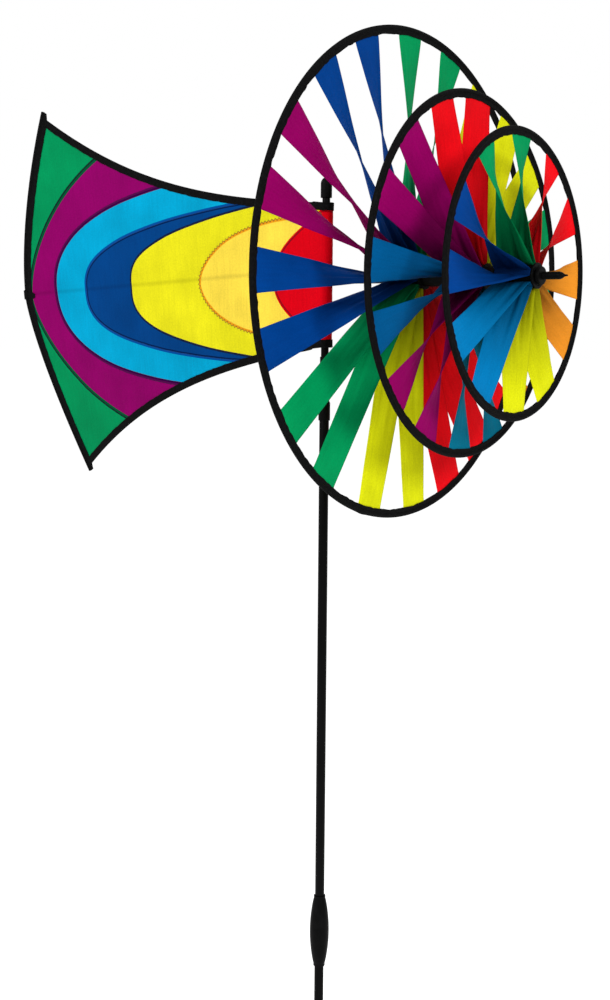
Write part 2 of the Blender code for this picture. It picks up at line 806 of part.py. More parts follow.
def spar(head):
    """The spar lies on the cloth's far side, from the fitting to a cap sewn near the trailing edge."""
    rotation = (0, -math.pi / 2 - SPAR_DROOP, 0)
    location = (-SPAR_START, 0, SPAR_HEIGHT - SPAR_START * math.tan(SPAR_DROOP))
    mesh = cylinder_mesh("tail_spar", SPAR_RADIUS, SPAR_END - SPAR_START, 10)
    add_object("tail_spar", mesh, black_rod(), head, location, rotation)
    bore = SPAR_RADIUS + GAP
    rim = 0.001
    profile = [
        (0, SPAR_CAP_LENGTH),
        (SPAR_CAP_RADIUS - rim, SPAR_CAP_LENGTH),
        (SPAR_CAP_RADIUS, SPAR_CAP_LENGTH - rim),
        (SPAR_CAP_RADIUS, 0),
        (bore, 0),
        (bore, SPAR_CAP_DEPTH),
        (0, SPAR_CAP_DEPTH),
    ]
    cap_start = SPAR_END - SPAR_CAP_DEPTH + GAP
    direction = Vector((-math.cos(SPAR_DROOP), 0, -math.sin(SPAR_DROOP)))
    at = Vector((0, 0, SPAR_HEIGHT)) + direction * cap_start
    turned(
        "spar_end_cap", profile, black_plastic(), steps=12, parent=head, location=at, rotation=rotation
    )


def build():
    ground_stake()
    poles()
    pole_ferrule()
    pivot()
    head = empty("vane_pivot", (0, 0, AXLE_HEIGHT))
    mast(head)
    swivel_collar(head)
    mast_cap(head)
    axle_fitting(head)
    axle(head)
    spacers(head)
    axle_end(head)
    for name, place, radius, pairs, width, first, twist in WHEELS:
        wheel(head, name, place, radius, pairs, width, first, twist)
    tail_cloth(head)
    bow_and_bindings(head)
    spar(head)


clear_scene()
PARTS = new_collection("wind_spinner")
CUTTERS = new_collection("cutters", rendered=False)
build()
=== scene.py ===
"""A garden wind spinner dressed for its portrait: three ribbon wheels on one axle, a patchwork tail that
turns them into the wind, and a black pole on a ground stake.

Metres, +Z up, +X along the axle into the wind, origin on the pole's axis at ground level. Everything is
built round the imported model. A wheel's angles are counted from +Y towards +Z.
"""

import math
from collections import namedtuple

import bmesh
import bpy
import numpy as np
from mathutils import Matrix, Vector
from mathutils.geometry import delaunay_2d_cdt


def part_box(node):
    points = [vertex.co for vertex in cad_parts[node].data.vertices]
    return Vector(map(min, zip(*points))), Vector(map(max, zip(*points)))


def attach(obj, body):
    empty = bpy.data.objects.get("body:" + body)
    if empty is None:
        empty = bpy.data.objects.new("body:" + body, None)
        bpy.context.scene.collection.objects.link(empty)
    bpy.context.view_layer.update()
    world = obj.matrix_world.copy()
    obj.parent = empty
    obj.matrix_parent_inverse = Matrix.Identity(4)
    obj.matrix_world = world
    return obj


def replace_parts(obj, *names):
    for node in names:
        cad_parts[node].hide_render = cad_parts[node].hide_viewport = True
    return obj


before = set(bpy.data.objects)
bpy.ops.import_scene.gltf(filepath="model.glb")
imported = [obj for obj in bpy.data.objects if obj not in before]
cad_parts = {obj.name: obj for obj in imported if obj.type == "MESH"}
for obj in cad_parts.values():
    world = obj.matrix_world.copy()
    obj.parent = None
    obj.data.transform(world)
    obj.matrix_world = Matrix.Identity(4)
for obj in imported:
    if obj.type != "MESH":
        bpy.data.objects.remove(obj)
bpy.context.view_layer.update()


def spread(node, axis):
    """The node's lowest and highest place along an axis (0 x, 1 y, 2 z)."""
    low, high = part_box(node)
    return low[axis], high[axis]


def middle(node, axis):
    return sum(spread(node, axis)) / 2


def radius_of(node, axis):
    low, high = spread(node, axis)
    return (high - low) / 2


AXLE_HEIGHT = middle("large_hub", 2)
HEAD = (0, 0, AXLE_HEIGHT)
UP = (0, 0, 1)
AHEAD = (1, 0, 0)
TURN_STEPS = 64
ROD_STEPS = 12
CORNER_ROUND = 0.0005
SHARP_ANGLE = math.radians(35)
FINE_ROUND = 0.0003
MOULD_ROUND = 0.0004
SOFT_ROUND = 0.0008
FIT = 0.0004
SLIDING_FIT = 0.0003

# Stand and fittings
FIN_THICKNESS = 0.0030
FIN_TOE, FIN_REACH = 0.0045, 0.0230
FERRULE_END = 0.0066
FERRULE_LIP = 0.003
PIN_BORE = 0.0028
MAST_BORE = 0.0030
COLLAR_NECK = 0.0052
COLLAR_SKIRT_GAP = 0.0005
COLLAR_SEAT = 0.0002
TEE_BEAD = 0.0022
TEE_WAIST = 0.0005
CAP_DEPTH = 0.010

# Camera and lights. The camera's directions are its right and its back.
CAMERA_LENS = 50.4
CAMERA_RIGHT = Vector((0.7957, 0.6056, 0.0078))
CAMERA_BACK = Vector((0.5997, -0.7896, 0.1296))
CAMERA_FROM_LARGE_RING = Vector((0.8018, -1.2270, -0.0414))
LIGHT_AIM = (0.0, 0.0, 1.3)
LIGHTS = (
    ("key_light", (3.2, -1.5, 2.6), 1.1, 118.0),
    ("fill_light", (-1.0, -3.3, 2.8), 2.2, 92.0),
)
FLOOR_HALF = 40.0

# Cloth and tape
WEAVE_PITCH = 0.0009
TAPE_WEAVE_PITCH = 0.0012
TAPE_RIB_PITCH = 0.0011
# Painted shade on a ribbon near its hub: how far out it reaches, and how dark it is at the hub
HUB_PAINTED_SHADE_REACH = 0.11
HUB_PAINTED_SHADE = 0.34
# The painted shadow of the spar on the tail: a band this far either side of its line
SPAR_PAINTED_SHADOW = (0.0006, 0.0036)
OVERLAP_SOFTNESS = 0.0003
LIGHT_THROUGH = 0.25

# Wheels. A ribbon pair's legs are end_angle wide at the ring, and the first pair is at the angle first. A
# hoop is out_of_round by an amount, most at an angle. Angles are in degrees.
BAND_WIDTH = 0.0089
HOOP_RADIUS = 0.0016
HOOP_CLEARANCE = 0.0003
HOOP_JOINT_ANGLE = math.radians(252)
HOOP_JOINT_REACH = 0.007
BAND_STEP = 0.0032
TAPE = 0.00045
RIBBON_THICKNESS = 0.0003
RIBBON_ROOT_HALF_WIDTH = 0.0198
RIBBON_ROOT_GAP = 0.0007
RIBBON_TUCK = 0.0028
RIBBON_FLAT_FROM = 0.97
RIBBON_BULGE = 0.0022
LEG_ROWS = 40
RIBBON_ACROSS = np.linspace(-1, 1, 21)[None, :]
HUB_RADIUS = 0.0110
RIBBON_ROOT_RADIUS = HUB_RADIUS + RIBBON_ROOT_GAP
HUB_FLANGE = 0.0020
HUB_BOSS, HUB_RIM = 0.0052, 0.0098
HUB_RECESS = 0.0009
AXLE_BORE = 0.0031
WHEELS = {
    "large": {
        "pairs": 10,
        "end_angle": 9.6,
        "first": 153.8,
        "out_of_round": (0.0034, 10.0),
        "twist": 1,
        "colours": ("purple", "blue", "green", "yellow", "red", "red", "red", "yellow", "green", "blue"),
    },
    "medium": {
        "pairs": 8,
        "end_angle": 13.8,
        "first": 97.8,
        "out_of_round": (0.0, 0.0),
        "twist": -1,
        "colours": ("red", "purple", "azure", "purple", "teal", "orange", "green", "yellow"),
    },
    "small": {
        "pairs": 6,
        "end_angle": 18.0,
        "first": 104.8,
        "out_of_round": (-0.0024, 15.0),
        "twist": 1,
        "colours": ("green", "blue", "azure", "yellow", "orange", "red"),
    },
}

# How far the ends of a pair's two legs have slipped round from even spacing, in degrees
LEG_SLIPS = {
    "large_1": (0.4, -0.2),
    "large_2": (-0.8, -1.8),
    "large_3": (-0.9, -0.7),
    "large_4": (2.0, 4.0),
    "large_5": (3.2, 3.0),
    "large_9": (-1.3, -0.3),
    "large_10": (0.2, 0.3),
}
# How wide the ends of a pair's two legs are beside their wheel's others
LEG_WIDTHS = {
    "large_5": (1.18, 1.32),
    "medium_1": (1.15, 1.0),
    "small_1": (0.88, 0.76),
    "small_6": (1.0, 0.8),
}
# Legs cut from a darker bolt of the same colour
DARKER_BOLTS = {"medium_3": "deep_azure"}
PLEAT_HEIGHT = 0.0020
PLEATS = 7.5

# Tail, in its own plane: distances behind the mast, and heights from its centre line
TAIL_DROOP = math.radians(3.2)
TAIL_CENTRE = 0.003
TAIL_OFFSET = 0.0031
TAIL_CORNER = 0.4015
TAIL_BOW = 0.0715
TAIL_BOW_POWER = 1.5
TAIL_HALF_AT_MAST = 0.0765
TAIL_HALF_AT_CORNER = 0.219
TAIL_SLOPE_AT_MAST = 0.118
TAIL_SLOPE_AT_CORNER = 0.774
TAIL_TWIST = math.radians(9.4)
TAIL_THICKNESS = 0.0004
SLEEVE_FLAT_END = 0.0125
SLEEVE_TAIL = 0.024
SLEEVE_RADIUS = 0.0075
SLEEVE_BLEND = 0.012
EDGE_BAND = 0.0086
BOW_BAND = 0.0122
BOW_RADIUS = 0.0016
TIP_REACH = 0.0050
TIP_TAPER = 0.0140
POCKET_HEIGHT = 0.0110
POCKET_WIDTH = 0.0190
POCKET_SLACK = 0.0007
WINDOW_LENGTH = 0.0165
WINDOW_HALF = 0.0125
WINDOW_FORWARD = 0.0025
SHEET_SPACING = 0.0055
STITCH_PITCH = 0.0024
ZIGZAG_SWING = 0.0013
SPAR_DROOP = math.radians(3.0)
SPAR_DIRECTION = Vector((-math.cos(SPAR_DROOP), 0, -math.sin(SPAR_DROOP)))
SPAR_HEIGHT = 0.0098
SPAR_ON_CLOTH = 0.0076

# The tail's seams, from the mast outwards. Each has the cloth inside it, how far back it reaches, its half
# height at the mast, the two powers that shape it, its centre line's height at the mast and that line's
# rise, and how far outside it its stitches run.
Seam = namedtuple("Seam", "cloth reach half power shape height rise stitches")
SEAMS = (
    Seam("tail_red", 0.0693, 0.0711, 1.00, 0.487, -0.0010, 0.0216, -0.0026),
    Seam("tail_gold", 0.1782, 0.0669, 2.79, 0.604, -0.0015, 0.0282, 0.0),
    Seam("tail_yellow", 0.2849, 0.0907, 1.33, 0.361, -0.0036, 0.0270, 0.0012),
    Seam("tail_blue", 0.3649, 0.0935, 1.99, 0.386, -0.0027, 0.0191, -0.0026),
    Seam("tail_cyan", 0.4137, 0.1211, 2.96, 0.440, 0.0005, 0.0115, 0.0042),
    Seam("tail_purple", 0.4600, 0.1996, 2.99, 0.647, 0.0100, -0.0150, 0.0042),
)
OUTER_CLOTH = "tail_green"


# Colours and materials


def srgb(red, green, blue):
    """A colour as a screen shows it, 0 to 255, as linear light."""
    shares = (value / 255 for value in (red, green, blue))
    return tuple(s / 12.92 if s <= 0.04045 else ((s + 0.055) / 1.055) ** 2.4 for s in shares)


DYES = {
    "purple": srgb(129, 0, 82),
    "blue": srgb(0, 55, 124),
    "azure": srgb(0, 107, 162),
    "deep_azure": srgb(0, 78, 129),
    "green": srgb(0, 133, 76),
    "teal": srgb(0, 98, 124),
    "yellow": srgb(198, 201, 13),
    "red": srgb(212, 9, 20),
    "orange": srgb(206, 129, 33),
    "tail_red": srgb(200, 0, 18),
    "tail_gold": srgb(224, 199, 66),
    "tail_yellow": srgb(205, 199, 24),
    "tail_blue": srgb(0, 56, 116),
    "tail_cyan": srgb(0, 144, 182),
    "tail_purple": srgb(124, 0, 86),
    "tail_green": srgb(0, 127, 75),
}
BLACK = srgb(4, 4, 4)


class Nodes:
    """A material's nodes, with short ways to add and join them."""

    def __init__(self, name):
        self.material = bpy.data.materials.new(name)
        self.material.use_nodes = True
        self.tree = self.material.node_tree
        self.shader = self.tree.nodes["Principled BSDF"]
        self.output = self.tree.nodes["Material Output"]

    def add(self, kind, **settings):
        node = self.tree.nodes.new(kind)
        for key, value in settings.items():
            setattr(node, key, value)
        return node

    def link(self, source, target):
        self.tree.links.new(source, target)

    def math(self, operation, first, second=None):
        node = self.add("ShaderNodeMath", operation=operation)
        for socket, value in zip(node.inputs, (first, second)):
            if value is None:
                continue
            if isinstance(value, (int, float)):
                socket.default_value = value
            else:
                self.link(value, socket)
        return node.outputs[0]

    def product(self, *values):
        result = values[0]
        for value in values[1:]:
            result = self.math("MULTIPLY", result, value)
        return result

    def wave(self, value, pitch):
        return self.math("SINE", self.math("MULTIPLY", value, 2 * math.pi / pitch))

    def noise(self, vector, scale, detail=3.0, roughness=0.5):
        node = self.add("ShaderNodeTexNoise")
        node.inputs["Scale"].default_value = scale
        node.inputs["Detail"].default_value = detail
        node.inputs["Roughness"].default_value = roughness
        self.link(vector, node.inputs["Vector"])
        return node.outputs["Fac"]

    def stretched(self, vector, scale):
        node = self.add("ShaderNodeMapping")
        node.inputs["Scale"].default_value = scale
        self.link(vector, node.inputs["Vector"])
        return node.outputs["Vector"]

    def ranged(self, value, low, high, to_low=0.0, to_high=1.0):
        node = self.add("ShaderNodeMapRange")
        for key, number in zip(("From Min", "From Max", "To Min", "To Max"), (low, high, to_low, to_high)):
            node.inputs[key].default_value = number
        self.link(value, node.inputs["Value"])
        return node.outputs["Result"]

    def mixed(self, share, first, second, blend="MIX"):
        node = self.add("ShaderNodeMix", data_type="RGBA", blend_type=blend)
        for key, value in (("Factor", share), ("A", first), ("B", second)):
            sockets = [s for s in node.inputs if s.name == key and s.enabled]
            if isinstance(value, (int, float)):
                sockets[0].default_value = value
            elif isinstance(value, tuple):
                sockets[0].default_value = (*value, 1.0)
            else:
                self.link(value, sockets[0])
        return [s for s in node.outputs if s.enabled][0]

    def bump(self, height, strength, distance, normal=None):
        node = self.add("ShaderNodeBump")
        node.inputs["Strength"].default_value = strength
        node.inputs["Distance"].default_value = distance
        self.link(height, node.inputs["Height"])
        if normal:
            self.link(normal, node.inputs["Normal"])
        return node.outputs["Normal"]

    def set(self, **values):
        for key, value in values.items():
            self.shader.inputs[key.replace("_", " ")].default_value = value


def woven(nodes, pitch):
    """The cloth's flat coordinates in metres, together and apart, and the height of its plain weave."""
    flat = nodes.add("ShaderNodeUVMap", uv_map="flat").outputs["UV"]
    parts = nodes.add("ShaderNodeSeparateXYZ")
    nodes.link(flat, parts.inputs[0])
    across, along = parts.outputs[0], parts.outputs[1]
    return flat, across, along, nodes.product(nodes.wave(across, pitch), nodes.wave(along, pitch))


def uneven(nodes, flat, scale, low, high, detail=2.0, roughness=0.5):
    """A shade that drifts between low and high over the cloth. scale is per metre, across and along."""
    drift = nodes.noise(nodes.stretched(flat, (*scale, 1.0)), 1.0, detail, roughness)
    return nodes.ranged(drift, 0.3, 0.7, low, high)


def dye_and_painted_shade(nodes, lies_on_spar):
    """How light the dye is, and the weave. A faint painted shadow of the spar lies along the tail, and
    painted shade darkens a ribbon where it is gathered at its hub."""
    flat, _, along, weave = woven(nodes, WEAVE_PITCH)
    streaks = uneven(nodes, flat, (420.0, 26.0), 0.93, 1.05, 4.0, 0.6)
    clouds = uneven(nodes, flat, (16.0, 16.0), 0.86, 1.07)
    grain = uneven(nodes, flat, (520.0, 520.0), 0.92, 1.06)
    if lies_on_spar:
        beside = nodes.math("ABSOLUTE", nodes.math("SUBTRACT", along, SPAR_ON_CLOTH))
        # Painted shadow of the spar, a faint dark band along its line on the tail
        wear_and_painted_shade = nodes.ranged(beside, *SPAR_PAINTED_SHADOW, 0.84, 1.0)
    else:
        # Painted shade, darkest where the ribbon is gathered at its hub
        wear_and_painted_shade = nodes.ranged(nodes.math("ABSOLUTE", along), 0.0, HUB_PAINTED_SHADE_REACH, HUB_PAINTED_SHADE, 1.0)
    threads = nodes.ranged(weave, -1.0, 1.0, 0.96, 1.03)
    return flat, weave, nodes.product(streaks, clouds, threads, grain, wear_and_painted_shade)


def cloth(name, overlaps=(), lies_on_spar=False):
    """Dyed nylon with soft creases and light coming through it. An overlap is (seam, lower and upper
    distance outside it, colour there)."""
    nodes = Nodes(f"{name}_nylon")
    flat, weave, shade = dye_and_painted_shade(nodes, lies_on_spar)
    dyed = nodes.mixed(1.0, DYES[name], shade, "MULTIPLY")
    for seam, low, high, darker in overlaps:
        away = nodes.add("ShaderNodeAttribute", attribute_name=f"from_{seam}").outputs["Fac"]
        above = nodes.ranged(away, low - OVERLAP_SOFTNESS, low + OVERLAP_SOFTNESS)
        below = nodes.ranged(away, high - OVERLAP_SOFTNESS, high + OVERLAP_SOFTNESS, 1.0, 0.0)
        dyed = nodes.mixed(nodes.product(above, below), dyed, darker)
    nodes.link(dyed, nodes.shader.inputs["Base Color"])
    creases = nodes.noise(nodes.stretched(flat, (70.0, 18.0, 1.0)), 1.0, 3.0)
    creased = nodes.bump(creases, 0.5, 0.0018)
    nodes.link(nodes.bump(weave, 0.25, 0.00006, creased), nodes.shader.inputs["Normal"])
    nodes.set(Roughness=0.62, Specular_IOR_Level=0.02)
    through = nodes.add("ShaderNodeBsdfTranslucent")
    nodes.link(dyed, through.inputs["Color"])
    both = nodes.add("ShaderNodeMixShader")
    both.inputs[0].default_value = LIGHT_THROUGH
    nodes.link(nodes.shader.outputs[0], both.inputs[1])
    nodes.link(through.outputs[0], both.inputs[2])
    nodes.link(both.outputs[0], nodes.output.inputs["Surface"])
    return nodes.material


def tape_material():
    """Black grosgrain tape: fine ribs across it, a little lint and wear."""
    nodes = Nodes("black_grosgrain")
    flat, across, _, weave = woven(nodes, TAPE_WEAVE_PITCH)
    lint = nodes.noise(nodes.stretched(flat, (300.0, 300.0, 1.0)), 1.0, 4.0, 0.6)
    linty = nodes.mixed(nodes.ranged(lint, 0.45, 0.75, 0.0, 0.5), BLACK, srgb(18, 18, 20))
    nodes.link(linty, nodes.shader.inputs["Base Color"])
    height = nodes.math("ADD", nodes.math("MULTIPLY", weave, 0.3), nodes.wave(across, TAPE_RIB_PITCH))
    nodes.link(nodes.bump(height, 0.5, 0.00008), nodes.shader.inputs["Normal"])
    nodes.set(Roughness=0.8, Specular_IOR_Level=0.04)
    return nodes.material


def thread_material(name, colour):
    nodes = Nodes(name)
    where = nodes.add("ShaderNodeTexCoord").outputs["Object"]
    twist = nodes.noise(where, 1800.0, 2.0)
    darker = tuple(0.45 * c for c in colour)
    nodes.link(nodes.mixed(nodes.ranged(twist, 0.3, 0.7), colour, darker), nodes.shader.inputs["Base Color"])
    nodes.link(nodes.bump(twist, 0.3, 0.0001), nodes.shader.inputs["Normal"])
    nodes.set(Roughness=0.6, Specular_IOR_Level=0.2)
    return nodes.material


def hard_material(name, colour, wear_and_painted_shade, roughness, grain, streak=(1.0, 1.0, 1.0), **values):
    """Moulded plastic, coated rod or metal: its roughness varies, and its surface has a fine grain."""
    nodes = Nodes(name)
    where = nodes.stretched(nodes.add("ShaderNodeTexCoord").outputs["Object"], streak)
    patches = nodes.noise(where, 90.0, 4.0, 0.6)
    fine = nodes.noise(where, grain, 3.0)
    tone = nodes.mixed(nodes.ranged(patches, 0.45, 0.8), colour, wear_and_painted_shade)
    nodes.link(tone, nodes.shader.inputs["Base Color"])
    gloss = nodes.ranged(patches, 0.3, 0.7, roughness - 0.07, roughness + 0.09)
    nodes.link(gloss, nodes.shader.inputs["Roughness"])
    nodes.link(nodes.bump(fine, 0.18, 0.0001), nodes.shader.inputs["Normal"])
    nodes.set(**values)
    return nodes.material


# Meshes


def in_scene(name, data):
    made = bpy.data.objects.new(name, data)
    bpy.context.scene.collection.objects.link(made)
    return made


def finished(name, mesh, body, slot, materials):
    """A new piece that rides on a body, with the given materials. Its slot is not used."""
    piece = in_scene(name, mesh)
    for material in materials:
        mesh.materials.append(material)
    mesh.polygons.foreach_set("use_smooth", [True] * len(mesh.polygons))
    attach(piece, body)
    return piece


def unit(vectors):
    return vectors / np.linalg.norm(vectors, axis=-1, keepdims=True)


def walked(points):
    """How far along the line each of its points is."""
    return np.concatenate([[0], np.cumsum(np.linalg.norm(np.diff(points, axis=0), axis=1))])


def table(*columns):
    """The columns, spread over one another's rows, as one array of points."""
    return np.stack(np.broadcast_arrays(*columns), -1)


def lay_flat(mesh, flat):
    """Gives each point of the mesh its place on the cloth laid flat."""
    layer = mesh.uv_layers.new(name="flat")
    corner = np.empty(len(mesh.loops), np.int32)
    mesh.loops.foreach_get("vertex_index", corner)
    layer.data.foreach_set("uv", flat.reshape(-1, 2)[corner].astype(np.float32).ravel())


def grid_mesh(name, points, flat=None, closed_rows=False, closed_columns=False):
    """Faces between points[row][column]. flat gives each point's place on the cloth laid flat."""
    rows, columns = points.shape[:2]
    index = np.arange(rows * columns).reshape(rows, columns)
    if closed_rows:
        index = np.vstack([index, index[:1]])
    if closed_columns:
        index = np.hstack([index, index[:, :1]])
    quads = np.stack([index[:-1, :-1], index[:-1, 1:], index[1:, 1:], index[1:, :-1]], axis=-1)
    mesh = bpy.data.meshes.new(name)
    mesh.from_pydata(points.reshape(-1, 3).tolist(), [], quads.reshape(-1, 4).tolist())
    if flat is not None:
        lay_flat(mesh, flat)
    return mesh


def thicken(piece, thickness):
    modifier = piece.modifiers.new("thickness", "SOLIDIFY")
    modifier.thickness = thickness
    modifier.offset = 0


def mesh_of(name, shape, face_out=True):
    """A mesh with the shape's faces, turned outwards unless they already are."""
    if face_out:
        bmesh.ops.recalc_face_normals(shape, faces=shape.faces)
    mesh = bpy.data.meshes.new(name)
    shape.to_mesh(mesh)
    shape.free()
    return mesh


def joined(name, meshes):
    """One mesh made of several."""
    shape = bmesh.new()
    for mesh in meshes:
        shape.from_mesh(mesh)
    return mesh_of(name, shape, face_out=False)


def outward(mesh, weld=0.0):
    """Turns the faces out and welds points that lie on one another, such as those on an axis."""
    shape = bmesh.new()
    shape.from_mesh(mesh)
    if weld:
        bmesh.ops.remove_doubles(shape, verts=shape.verts, dist=weld)
    bmesh.ops.recalc_face_normals(shape, faces=shape.faces)
    shape.to_mesh(mesh)
    shape.free()
    return mesh


def rounded(profile, reach):
    """The profile with each corner off the axis cut back into a small arc."""
    made = []
    count = len(profile)
    for i, here in enumerate(profile):
        before, after = Vector(profile[i - 1]), Vector(profile[(i + 1) % count])
        corner = Vector(here)
        back, ahead = before - corner, after - corner
        if here[0] == 0 or back.length < 1e-6 or ahead.length < 1e-6:
            made.append(corner)
            continue
        cut = min(reach, back.length * 0.45, ahead.length * 0.45)
        start, end = corner + back.normalized() * cut, corner + ahead.normalized() * cut
        for share in (0.0, 0.33, 0.67, 1.0):
            first, second = start.lerp(corner, share), corner.lerp(end, share)
            made.append(first.lerp(second, share))
    return made


def turned_mesh(name, profile, origin, axis, round_by=CORNER_ROUND):
    """The profile's (radius, distance) points turned about the axis through the origin. The profile is a
    loop, which may run along the axis."""
    points = rounded(profile, round_by)
    axis = Vector(axis).normalized()
    side = axis.orthogonal().normalized()
    other = axis.cross(side)
    turns = np.linspace(0, 2 * math.pi, TURN_STEPS, endpoint=False)
    radii = np.array([p[0] for p in points])
    along = np.array([p[1] for p in points])
    around = np.cos(turns)[:, None] * np.array(side) + np.sin(turns)[:, None] * np.array(other)
    places = np.array(origin) + along[None, :, None] * np.array(axis)
    places = places + radii[None, :, None] * around[:, None, :]
    return outward(grid_mesh(name, places, None, True, True), 1e-6)


def sharpen(mesh):
    """Keeps an edge crisp where its faces meet at more than SHARP_ANGLE."""
    mesh.set_sharp_from_angle(angle=SHARP_ANGLE)
    return mesh


def turned_piece(name, node, body, finish, profile, at, axis, round_by=CORNER_ROUND):
    """A piece turned from its profile, in the place of a node. A finish is a slot and its material."""
    slot, material = finish
    mesh = turned_mesh(name, profile, at, axis, round_by)
    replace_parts(finished(name, sharpen(mesh), body, slot, [material]), node)


# Wheels


def fold_outline(core, leg_end, leg_gap, steps=14):
    """The section of a tape folded round a core: (distance inward, distance across), one closed loop."""
    inner, outer = core + HOOP_CLEARANCE, core + HOOP_CLEARANCE + TAPE
    loops = []
    for radius, gap in ((outer, leg_gap + TAPE), (inner, leg_gap)):
        start = math.asin(min(gap / radius, 1.0))
        angles = np.linspace(start, 2 * math.pi - start, steps)
        arc = [(radius * math.cos(a), radius * math.sin(a)) for a in angles]
        reach = arc[0][0]
        legs = [reach + (leg_end - reach) * share for share in (0.92, 0.6, 0.3)]
        near = [(leg_end, gap)] + [(x, gap) for x in legs]
        far = [(x, -gap) for x in legs[::-1]] + [(leg_end, -gap)]
        loops.append(near + arc + far)
    return loops[0] + loops[1][::-1]


def wobble(angle, seed, waves):
    """A smooth, repeating unevenness between about -1 and 1."""
    total = np.zeros_like(angle)
    for i, wave in enumerate(waves):
        total = total + np.sin(wave * angle + seed * 1.7 + i * 2.3)
    return total / len(waves)


def on_wheel(points, place, angle):
    """Points of a wheel lying about its own axle, turned by an angle and put in their place."""
    c, s = math.cos(angle), math.sin(angle)
    x, y, z = points[..., 0], points[..., 1], points[..., 2]
    return np.stack([x + place, y * c - z * s, y * s + z * c + AXLE_HEIGHT], axis=-1)


def oval(angle, wheel):
    """How much further out than round a hoop is, at an angle."""
    amount, longest = wheel["out_of_round"]
    return amount * np.cos(2 * (angle - math.radians(longest)))


def round_ring(place, reach, turns, across):
    """Points round a wheel's ring, from how far out and how far along the axle each one is."""
    sideways, upward = np.cos(turns)[:, None], np.sin(turns)[:, None]
    return table(place + across, reach * sideways, AXLE_HEIGHT + reach * upward)


def ring_band(name, place, radius, seed, wheel):
    """The tape folded over the sprung hoop. Its inner edge puckers a little between the stitches, and the
    largest hoop's joint shows as a swelling."""
    hoop_at = radius + BAND_WIDTH / 2 - HOOP_RADIUS - HOOP_CLEARANCE - TAPE
    leg_end = hoop_at - radius + BAND_WIDTH / 2
    section = np.array(fold_outline(HOOP_RADIUS, leg_end, RIBBON_THICKNESS / 2 + 0.0002))
    turns = np.linspace(0, 2 * math.pi, round(radius * 2 * math.pi / BAND_STEP), endpoint=False)
    loose = np.clip((section[:, 0] - HOOP_RADIUS) / (leg_end - HOOP_RADIUS), 0, 1) ** 1.5
    long_wave = wobble(turns, seed, (31, 44, 67))
    short_wave = wobble(turns, seed + 3, (101, 137, 173))
    inward = section[None, :, 0] + loose[None, :] * 0.0005 * (long_wave + 0.6 * short_wave)[:, None]
    across = section[None, :, 1] + loose[None, :] * 0.00028 * short_wave[:, None]
    joint = np.exp(-(((turns - HOOP_JOINT_ANGLE) * radius / HOOP_JOINT_REACH) ** 2)) * (name == "large")
    swell = 1 + 0.28 * joint[:, None] * (section[None, :, 0] < HOOP_RADIUS)
    centre = hoop_at + oval(turns, wheel)[:, None]
    points = round_ring(place, centre - inward * swell, turns, across * swell)
    flat = table(turns[:, None] * radius, walked(section)[None, :])
    mesh = outward(grid_mesh(f"{name}_ring_band", points, flat, True, True))
    band = finished(f"{name}_ring_band", mesh, f"{name}_wheel", "black_tape", [BLACK_TAPE])
    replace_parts(band, f"{name}_ring_tape")
    sides = np.linspace(0, 2 * math.pi, ROD_STEPS, endpoint=False)
    reach = centre + HOOP_RADIUS * np.cos(sides)[None, :]
    points = round_ring(place, reach, turns, HOOP_RADIUS * np.sin(sides)[None, :])
    mesh = outward(grid_mesh(f"{name}_hoop", points, None, True, True))
    hoop = finished(f"{name}_hoop", mesh, f"{name}_wheel", "black_rod", [ROD])
    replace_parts(hoop, f"{name}_ring_rod")


def pleats(along, across, seed):
    """Soft folds that run out from the hub and fade towards the ring."""
    near_hub = (1 - np.exp(-along / 0.07)) * np.exp(-along / 0.38) * (1 - along)
    fold = np.sin(PLEATS * across + seed + 1.2 * along) + 0.6 * np.sin(1.9 * PLEATS * across - 2.1 * seed)
    near_ring = 0.35 * along**2 * (1 - along) * np.sin(1.4 * PLEATS * across + 3 * seed)
    return PLEAT_HEIGHT * (near_hub * fold + near_ring)


def ribbon_leg(leg, slip, share, radius, wheel, middle_angle, bulge, seed):
    """One leg from the hub (along 0) to the ring (along 1). It stands along the axle at the hub, and its
    twist lays it flat against the ring."""
    along, across = np.linspace(0, 1, LEG_ROWS)[:, None], RIBBON_ACROSS
    root_angle = leg * math.pi / wheel["pairs"] / 2
    ring_angle = root_angle + math.radians(slip) + across * share * math.radians(wheel["end_angle"]) / 2
    end_radius = radius - BAND_WIDTH / 2 + RIBBON_TUCK + oval(middle_angle + ring_angle, wheel)
    side = 1 - along
    standing = 1 - np.minimum(along / RIBBON_FLAT_FROM, 1)
    points = table(
        wheel["twist"] * across * RIBBON_ROOT_HALF_WIDTH * standing,
        side * RIBBON_ROOT_RADIUS * math.cos(root_angle) + along * end_radius * np.cos(ring_angle),
        side * RIBBON_ROOT_RADIUS * math.sin(root_angle) + along * end_radius * np.sin(ring_angle),
    )
    normal = unit(np.cross(np.gradient(points, axis=0), np.gradient(points, axis=1)))
    free = np.sin(math.pi * np.clip(along, 0, 1)) ** 1.6
    ripple = 0.0004 * np.sin(6.0 * along + 2.2 * across + seed)
    ripple = ripple + 0.0003 * np.sin(15.0 * along - across + 2 * seed)
    lift = free * (bulge * (1 - across**2) + ripple) + pleats(along, across, seed + leg)
    return points + normal * lift[..., None]


